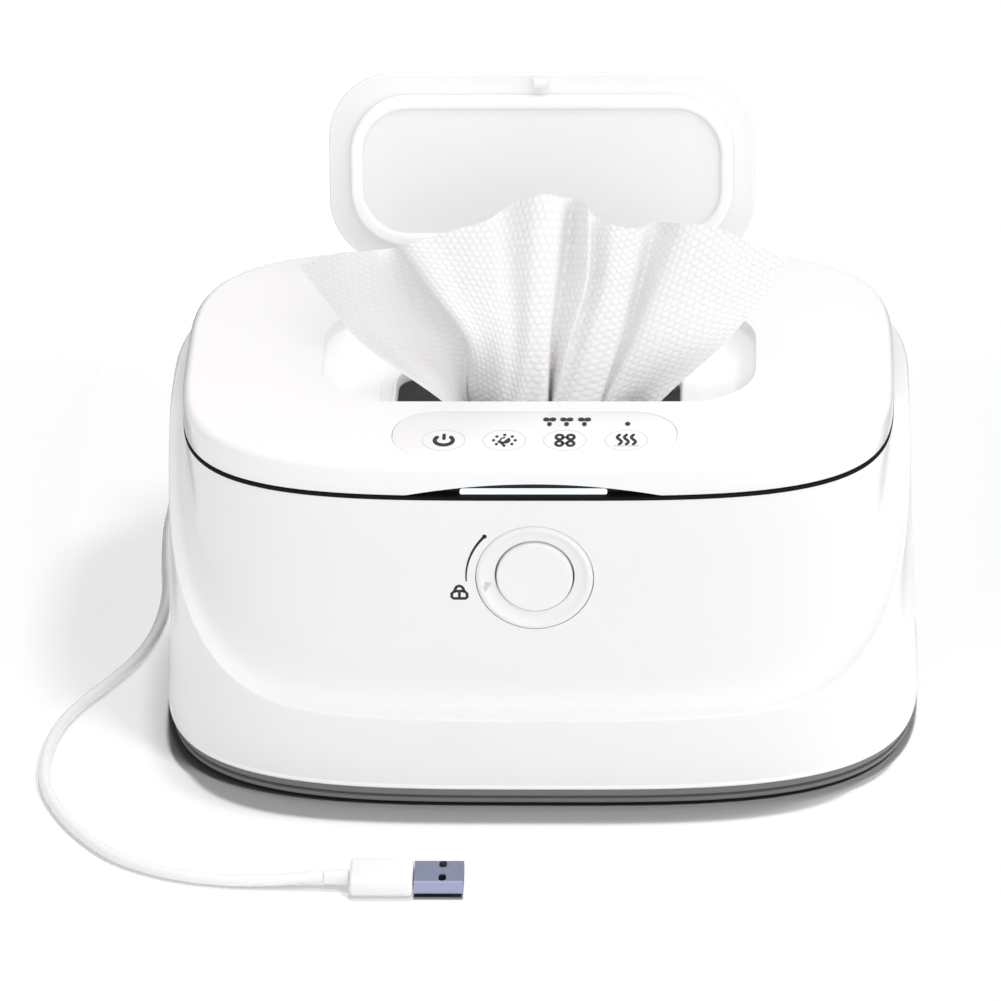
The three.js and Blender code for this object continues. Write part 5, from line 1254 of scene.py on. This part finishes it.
sleeve_rings = [plug_ring(4 + 0.6 * t, 4 + 0.6 * t, 1.95 + 0.25 * t)(0, plug_relief_from_x + 7 * t)
                for t in np.linspace(0, 1, 6)]
sleeve = add_skin("plug_sleeve", "base", "white_cord", sleeve_rings)
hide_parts("plug_relief")
plug_body = add_skin("plug_grip", "base", "white_cord", swept(
    plug_ring(14, plug_height, 3),
    rounded_in(0, plug_from_x, 1, 1, 4) + rounded_over(0, plug_from_x + 17, 1, 1, 4)))
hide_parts("plug_body")

shell_from, shell_to, shell_sheet = -33.7, -19.7, 0.4
plug_shell = add_skin("plug_steel_shell", "base", "steel", swept(plug_ring(12, 4.5, 0.9), [
    (0, shell_from), (0, shell_to - 0.15), (0.12, shell_to), (shell_sheet, shell_to),
    (shell_sheet, shell_from + shell_sheet)]))
apply_tools(plug_shell, "DIFFERENCE", *[
    plate_tool((2.2, 3.6), 1.05, (-25.6, plug_y + side * 3.6), 2.6, 6.6) for side in (-1, 1)])
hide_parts("plug_shell")

tie_ring = rounded_rectangle((17.2, 8.0), 2.5, (coil_centre[1] + 19.8, 5.0), axis=0, steps=8)
tie_profile = ((-2.5, 0.0), (-2.5, 0.55), (-2.35, 0.7), (2.35, 0.7), (2.5, 0.55), (2.5, 0.0))
tie = add_skin("lead_tie", "base", "black_rubber",
               [tie_ring(-grow, coil_centre[0] + x) for x, grow in tie_profile], closed=True)
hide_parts("coil_tie")
rear_and_plug = (relief, sleeve, plug_body, plug_shell, tie)
print("relief, plug and tie faces", [len(made.data.polygons) for made in rear_and_plug])

# %% [markdown]
# The remaining finishes: brushed and plated metals, the circuit boards, the heating film, the foam
# pad, the glowing bar, the cloth and the ink. Each has the small variation that the real one shows
# at its real size. Then one table says which piece wears which, and another does the same for the
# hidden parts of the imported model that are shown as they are.

# %% Finishes
def brushed_metal(name, roughness, colour=(1, 1, 1, 1), metallic=1.0):
    """Metal with fine lines along one direction: noise stretched hard along an axis."""
    recipe = Recipe(name, Metallic=metallic, Base_Color=colour)
    stretched = recipe.node("ShaderNodeMapping", values={0: recipe.place(), 3: (60, 1500, 1500)})
    lines = recipe.noise(1.0, where=stretched)
    recipe.feed(Roughness=lines * 0.16 + (roughness - 0.08))
    recipe.bumps(lines, 0.004)
    return recipe


def two_tone(name, roughness, pattern, one, other, depth=None):
    """Two colours mixed by a pattern, which also raises the surface if a depth is given."""
    recipe = Recipe(name, Roughness=roughness)
    share = pattern(recipe)
    recipe.feed(Base_Color=recipe.mixed(share, one, other))
    if depth:
        recipe.bumps(share, depth)
    return recipe


def tracks(recipe): return (recipe.axis("Y") * 900.0).maths("SINE").step(-0.3, 0.3)


def pores(recipe):
    return recipe.node("ShaderNodeTexVoronoi", values={"Vector": recipe.place(), "Scale": 900.0})


def screen_mesh(recipe): return recipe.noise(900.0)


def board_finish():
    """Green lacquer over a weave of glass, with a fine unevenness."""
    recipe = Recipe("board_green", Roughness=0.45)
    recipe.feed(Base_Color=recipe.node("ShaderNodeTexBrick", {"offset": 0.5}, {
        "Vector": recipe.place(), "Scale": 260.0, "Color1": (0.02, 0.12, 0.06, 1),
        "Color2": (0.015, 0.1, 0.05, 1), "Mortar": (0.05, 0.2, 0.1, 1), "Mortar Size": 0.03}))
    recipe.bumps(recipe.noise(500.0), 0.02)
    return recipe


def plug_finish():
    """Tinned sheet: blue-grey and dull, with its top face painted darker as shade."""
    recipe = brushed_metal("plug_metal", 0.43, metallic=0.85)
    # The darker top face is painted shade, not a different metal.
    above = recipe.axis("Z").step(5.2 * MM, 5.6 * MM)
    recipe.feed(Base_Color=recipe.mixed(above, (0.4, 0.42, 0.6, 1), (0.25, 0.285, 0.4, 1)))
    return recipe


def light_finish():
    """A white diffuser lit from behind, a little uneven."""
    recipe = Recipe("light_diffuser", Base_Color=grey(0.8, -0.05), Roughness=0.4, Emission_Strength=0.9)
    recipe.feed(Emission_Color=recipe.mixed(recipe.noise(120.0), (0.78, 0.93, 1, 1), (0.88, 0.98, 1, 1)))
    return recipe


cell_width, cell_height, smooth_column = 2.2, 3.8, 40


def cloth_finish():
    """Spunlace nonwoven: a honeycomb of soft bumps two millimetres apart, over a tangle of fibres.
    The bumps sit on two square lattices set half a step apart, and the nearer one counts. They are
    flatter on the left lobe, where the cloth is stretched."""
    recipe = Recipe("cloth_wet", Roughness=0.6, IOR=1.4)
    cloth_place = recipe.node("ShaderNodeUVMap", {"uv_map": "UVMap"})
    u = recipe.axis("X", cloth_place) + recipe.noise(40.0) * 1.2
    v = recipe.axis("Y", cloth_place)
    distances = []
    for shift in (0.0, 0.5):
        dx = ((u / cell_width + shift).maths("FRACT") - 0.5) * cell_width
        dy = ((v / cell_height + shift).maths("FRACT") - 0.5) * cell_height
        distances.append((dx * dx + dy * dy).maths("POWER", 0.5))
    bump = 1 - distances[0].maths("MINIMUM", distances[1]).step(0.35, 1.15)
    slant, lobe_slant = u / v, float(np.tan(fan_turn[smooth_column]))
    bump = bump * (slant.step(lobe_slant - 0.1, lobe_slant + 0.1) * 0.6 + 0.4)
    # The colour is partly the cloth's uneven tone, from the noise, and partly painted shade that darkens it
    # between the bumps.
    tint_and_cell_shade = recipe.noise(30.0) * 0.35 + bump * 0.65
    recipe.feed(Base_Color=recipe.mixed(tint_and_cell_shade, grey(0.86, 0.003), grey(0.94, 0.003)))
    recipe.bumps(bump, 0.18, over=recipe.bumps(recipe.noise(1500.0, 3.0), 0.04))
    return recipe


steel = brushed_metal("steel_brushed", 0.3, (0.56, 0.57, 0.6, 1))
aluminium = brushed_metal("aluminium_brushed", 0.42, (0.76, 0.77, 0.78, 1))
film_copper = two_tone("film_copper", 0.35, tracks, (0.5, 0.2, 0.06, 1), (0.62, 0.3, 0.12, 1), 0.05)
# The foam's pores are sunk by the bump and also painted darker, as shade in the hollows.
foam_open = two_tone("foam_open", 0.95, pores, (0.5, 0.49, 0.46, 1), (0.72, 0.71, 0.68, 1), 0.3)
ink_black = two_tone("ink_black", 0.5, screen_mesh, grey(0.006), grey(0.012))
ink_grey = two_tone("ink_grey", 0.5, screen_mesh, grey(0.6), grey(0.68))
board_green = board_finish()

for finish, pieces in (
        (shell_white, (housing, lid, overlay, knob_ring, button, catch)),
        (inner_white, (liner_tub, lid_liner, slot_frame, door_panel)),
        (door_finish(), (door,)), (rim_white, (door_rim,)),
        (cable_white, (lead, relief, sleeve, plug_body)), (base_dark, (tray,)), (dark_plastic, (bezel,)),
        (seal_black, (seal, tie, *feet)), (plug_finish(), (plug_shell,)), (steel, (spring,)),
        (light_finish(), (light_bar,)), (cloth_finish(), (wipe,)),
        (ink_black, (panel_marks, front_marks)), (ink_grey, (panel_rings, pointer))):
    for piece in pieces:
        piece.data.materials.append(finish.material)

hidden_parts = (
    (steel, "thermal_fuse door_pin hinge_pin_left hinge_pin_right base_screw_1 base_screw_2 base_screw_3"
            " base_screw_4"),
    (aluminium, "heating_plate"), (film_copper, "heating_film"), (foam_open, "insulation_pad"),
    (board_green, "control_board touch_board light_board"),
    (dark_plastic, "temperature_sensor plug_tongue"),
    (inner_white, "knob_collar latch_slider lid_hook"))
finished = []
for finish, names in hidden_parts:
    for name in names.split():
        finished.append(name)
        for entry in frame["nodes"][name].material_slots:
            entry.material = finish.material
shown = [name for name, node in frame["nodes"].items() if not node.hide_render and name not in finished]
print("materials", len(bpy.data.materials), "and CAD nodes left without a finish:", shown)

# %% [markdown]
# The soft things have real measures: the lead's length and width, and the size the wipe was cut to.

# %% Measures of the soft things
print("declared: a lead of", round(lead_places[-1]), "mm and a wipe of 200 by 90 mm")

# %% [markdown]
# A studio lights a white product and its white ground apart. The floor here is dark, so that it
# throws little light back up at the warmer, and five lamps that reach nothing else burn it out to
# white. The steep ones, from behind, draw the dark band along the base's front, and the one from
# the right draws the soft shadow on the left. The lead lies so close to the floor that a steep lamp
# would outline it in black, so two of them leave it out of their shadow. The warmer has a sky that
# is brighter at the upper right, a broad soft lamp, and weak fill lamps for the lid, the door and
# the recess. Two black cards that the camera does not see take some of the sky's light from its
# flanks, so that the white body keeps its edge against the white ground. Each lamp of the list is
# like the sun: a direction towards it, its spread in degrees, its strength, and what it reaches.

# %% Floor and light
def set_piece(name, paint, points, faces):
    """A flat-faced mesh of the set, which is not a piece of the warmer."""
    made = add_mesh(name, points, [np.array(faces)])
    made.data.shade_flat()
    made.data.materials.append(paint.material)
    return made


def group(name, *pieces):
    """A collection, which is what a lamp's list of lit or shading pieces has to be."""
    made = bpy.data.collections.new(name)
    for piece in pieces:
        made.objects.link(piece)
    return made


def lamp_object(name, kind, receivers=None):
    """A lamp that reaches everything, or only the group of receivers."""
    made = bpy.data.objects.new(name, bpy.data.lights.new(name, kind))
    bpy.context.scene.collection.objects.link(made)
    if receivers:
        made.light_linking.receiver_collection = receivers
    return made


def axes_towards(direction):
    """Turns a lamp so that it shines against the direction, from there to the middle."""
    back_axis = np.array(direction, float) / np.linalg.norm(direction)
    side_axis = np.cross((0, 0.01, 1), back_axis)
    side_axis /= np.linalg.norm(side_axis)
    return Matrix(np.array([side_axis, np.cross(back_axis, side_axis), back_axis]).T.tolist()).to_4x4()


floor_reach, card_sides, card_depths, card_heights = 3000, (-145, 150), (15, 200), (1, 130)
floor_paint = Recipe("floor_pale", Roughness=0.8, Specular_IOR_Level=0.0, Base_Color=(0.06, 0.06, 0.06, 1))
floor_corners = floor_reach * np.array([[-1, -1, 0], [1, -1, 0], [1, 1, 0], [-1, 1, 0]])
floor = set_piece("floor", floor_paint, floor_corners, [[0, 1, 2, 3]])
card_paint = Recipe("card_black", Roughness=0.9, Base_Color=(0.02, 0.02, 0.02, 1))
card_corners = [[x, y, z] for x in card_sides for y in card_depths for z in card_heights]
card = set_piece("black_card", card_paint, card_corners, [[0, 2, 3, 1], [4, 6, 7, 5]])
card.visible_camera = card.visible_shadow = False

floor_alone = group("floor_alone", floor)
door_side = group("door_side", door, door_rim, door_panel, catch)
lid_side = group("lid_side", *[made for made in bpy.data.objects
                               if made.get("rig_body") == "lid" and made.type == "MESH" and made != wipe])
recess_only = group("recess_only", lid, lid_liner, slot_frame, overlay)
all_but_cord = group("all_but_cord", lead, relief, sleeve, plug_body)
for entry in all_but_cord.collection_objects:
    entry.light_linking.link_state = "EXCLUDE"

lamps = {}
for name, direction, spread, strength, receivers in (
        ("floor_steep", (0.03, 0.17, 1.0), 1.2, 25.0, floor_alone),
        ("floor_steep_2", (0.07, 0.17, 1.0), 3, 5.0, floor_alone),
        ("floor_steep_3", (0.11, 0.17, 1.0), 3, 6.0, floor_alone),
        ("floor_edge", (0.03, 0.085, 1.0), 9, 4.5, floor_alone),
        ("floor_side", (0.44, -0.31, 1.0), 9, 11.0, floor_alone),
        ("key", (0.5, -0.2, 1.0), 60, 0.2, None),
        ("lid_front", (0.25, -0.95, 0.35), 50, 0.2, lid_side),
        ("door_front", (-0.15, -1.0, 0.15), 90, 0.46, door_side)):
    lamps[name] = lamp_object(name, "SUN", receivers)
    lamps[name].matrix_world = axes_towards(direction)
    lamps[name].data.angle, lamps[name].data.energy = np.radians(spread), strength
for name in ("floor_steep", "floor_edge"):
    lamps[name].light_linking.blocker_collection = all_but_cord
lamps["door_front"].data.use_shadow = False

recess_light = lamp_object("recess_light", "AREA", recess_only)
recess_light.data.shape, recess_light.data.size, recess_light.data.size_y = "RECTANGLE", 0.13, 0.03
recess_light.data.energy, recess_light.data.use_shadow = 0.0028, False
recess_light.data.spread = np.radians(160)
recess_light.location = (0, 0.012, 0.104)
recess_light.visible_camera = False

world = bpy.data.worlds.new("sky")
bpy.context.scene.world = world
world.use_nodes = True
sky_nodes, sky_links = world.node_tree.nodes, world.node_tree.links
towards = sky_nodes.new("ShaderNodeVectorMath")
towards.operation = "DOT_PRODUCT"
towards.inputs[1].default_value = (0.62, -0.16, 0.77)
sky_links.new(sky_nodes.new("ShaderNodeTexCoord").outputs["Generated"], towards.inputs[0])
brightness = sky_nodes.new("ShaderNodeMapRange")
for socket, value in zip((1, 2, 3, 4), (-0.7, 1.0, 0.1, 1.5)):
    brightness.inputs[socket].default_value = value
sky_links.new(towards.outputs["Value"], brightness.inputs[0])
sky_links.new(brightness.outputs[0], sky_nodes["Background"].inputs[1])
sky_nodes["Background"].inputs[0].default_value = (1, 0.98, 0.988, 1)
bpy.context.scene.view_settings.view_transform = "Standard"
print("lamps", len(bpy.data.lights))
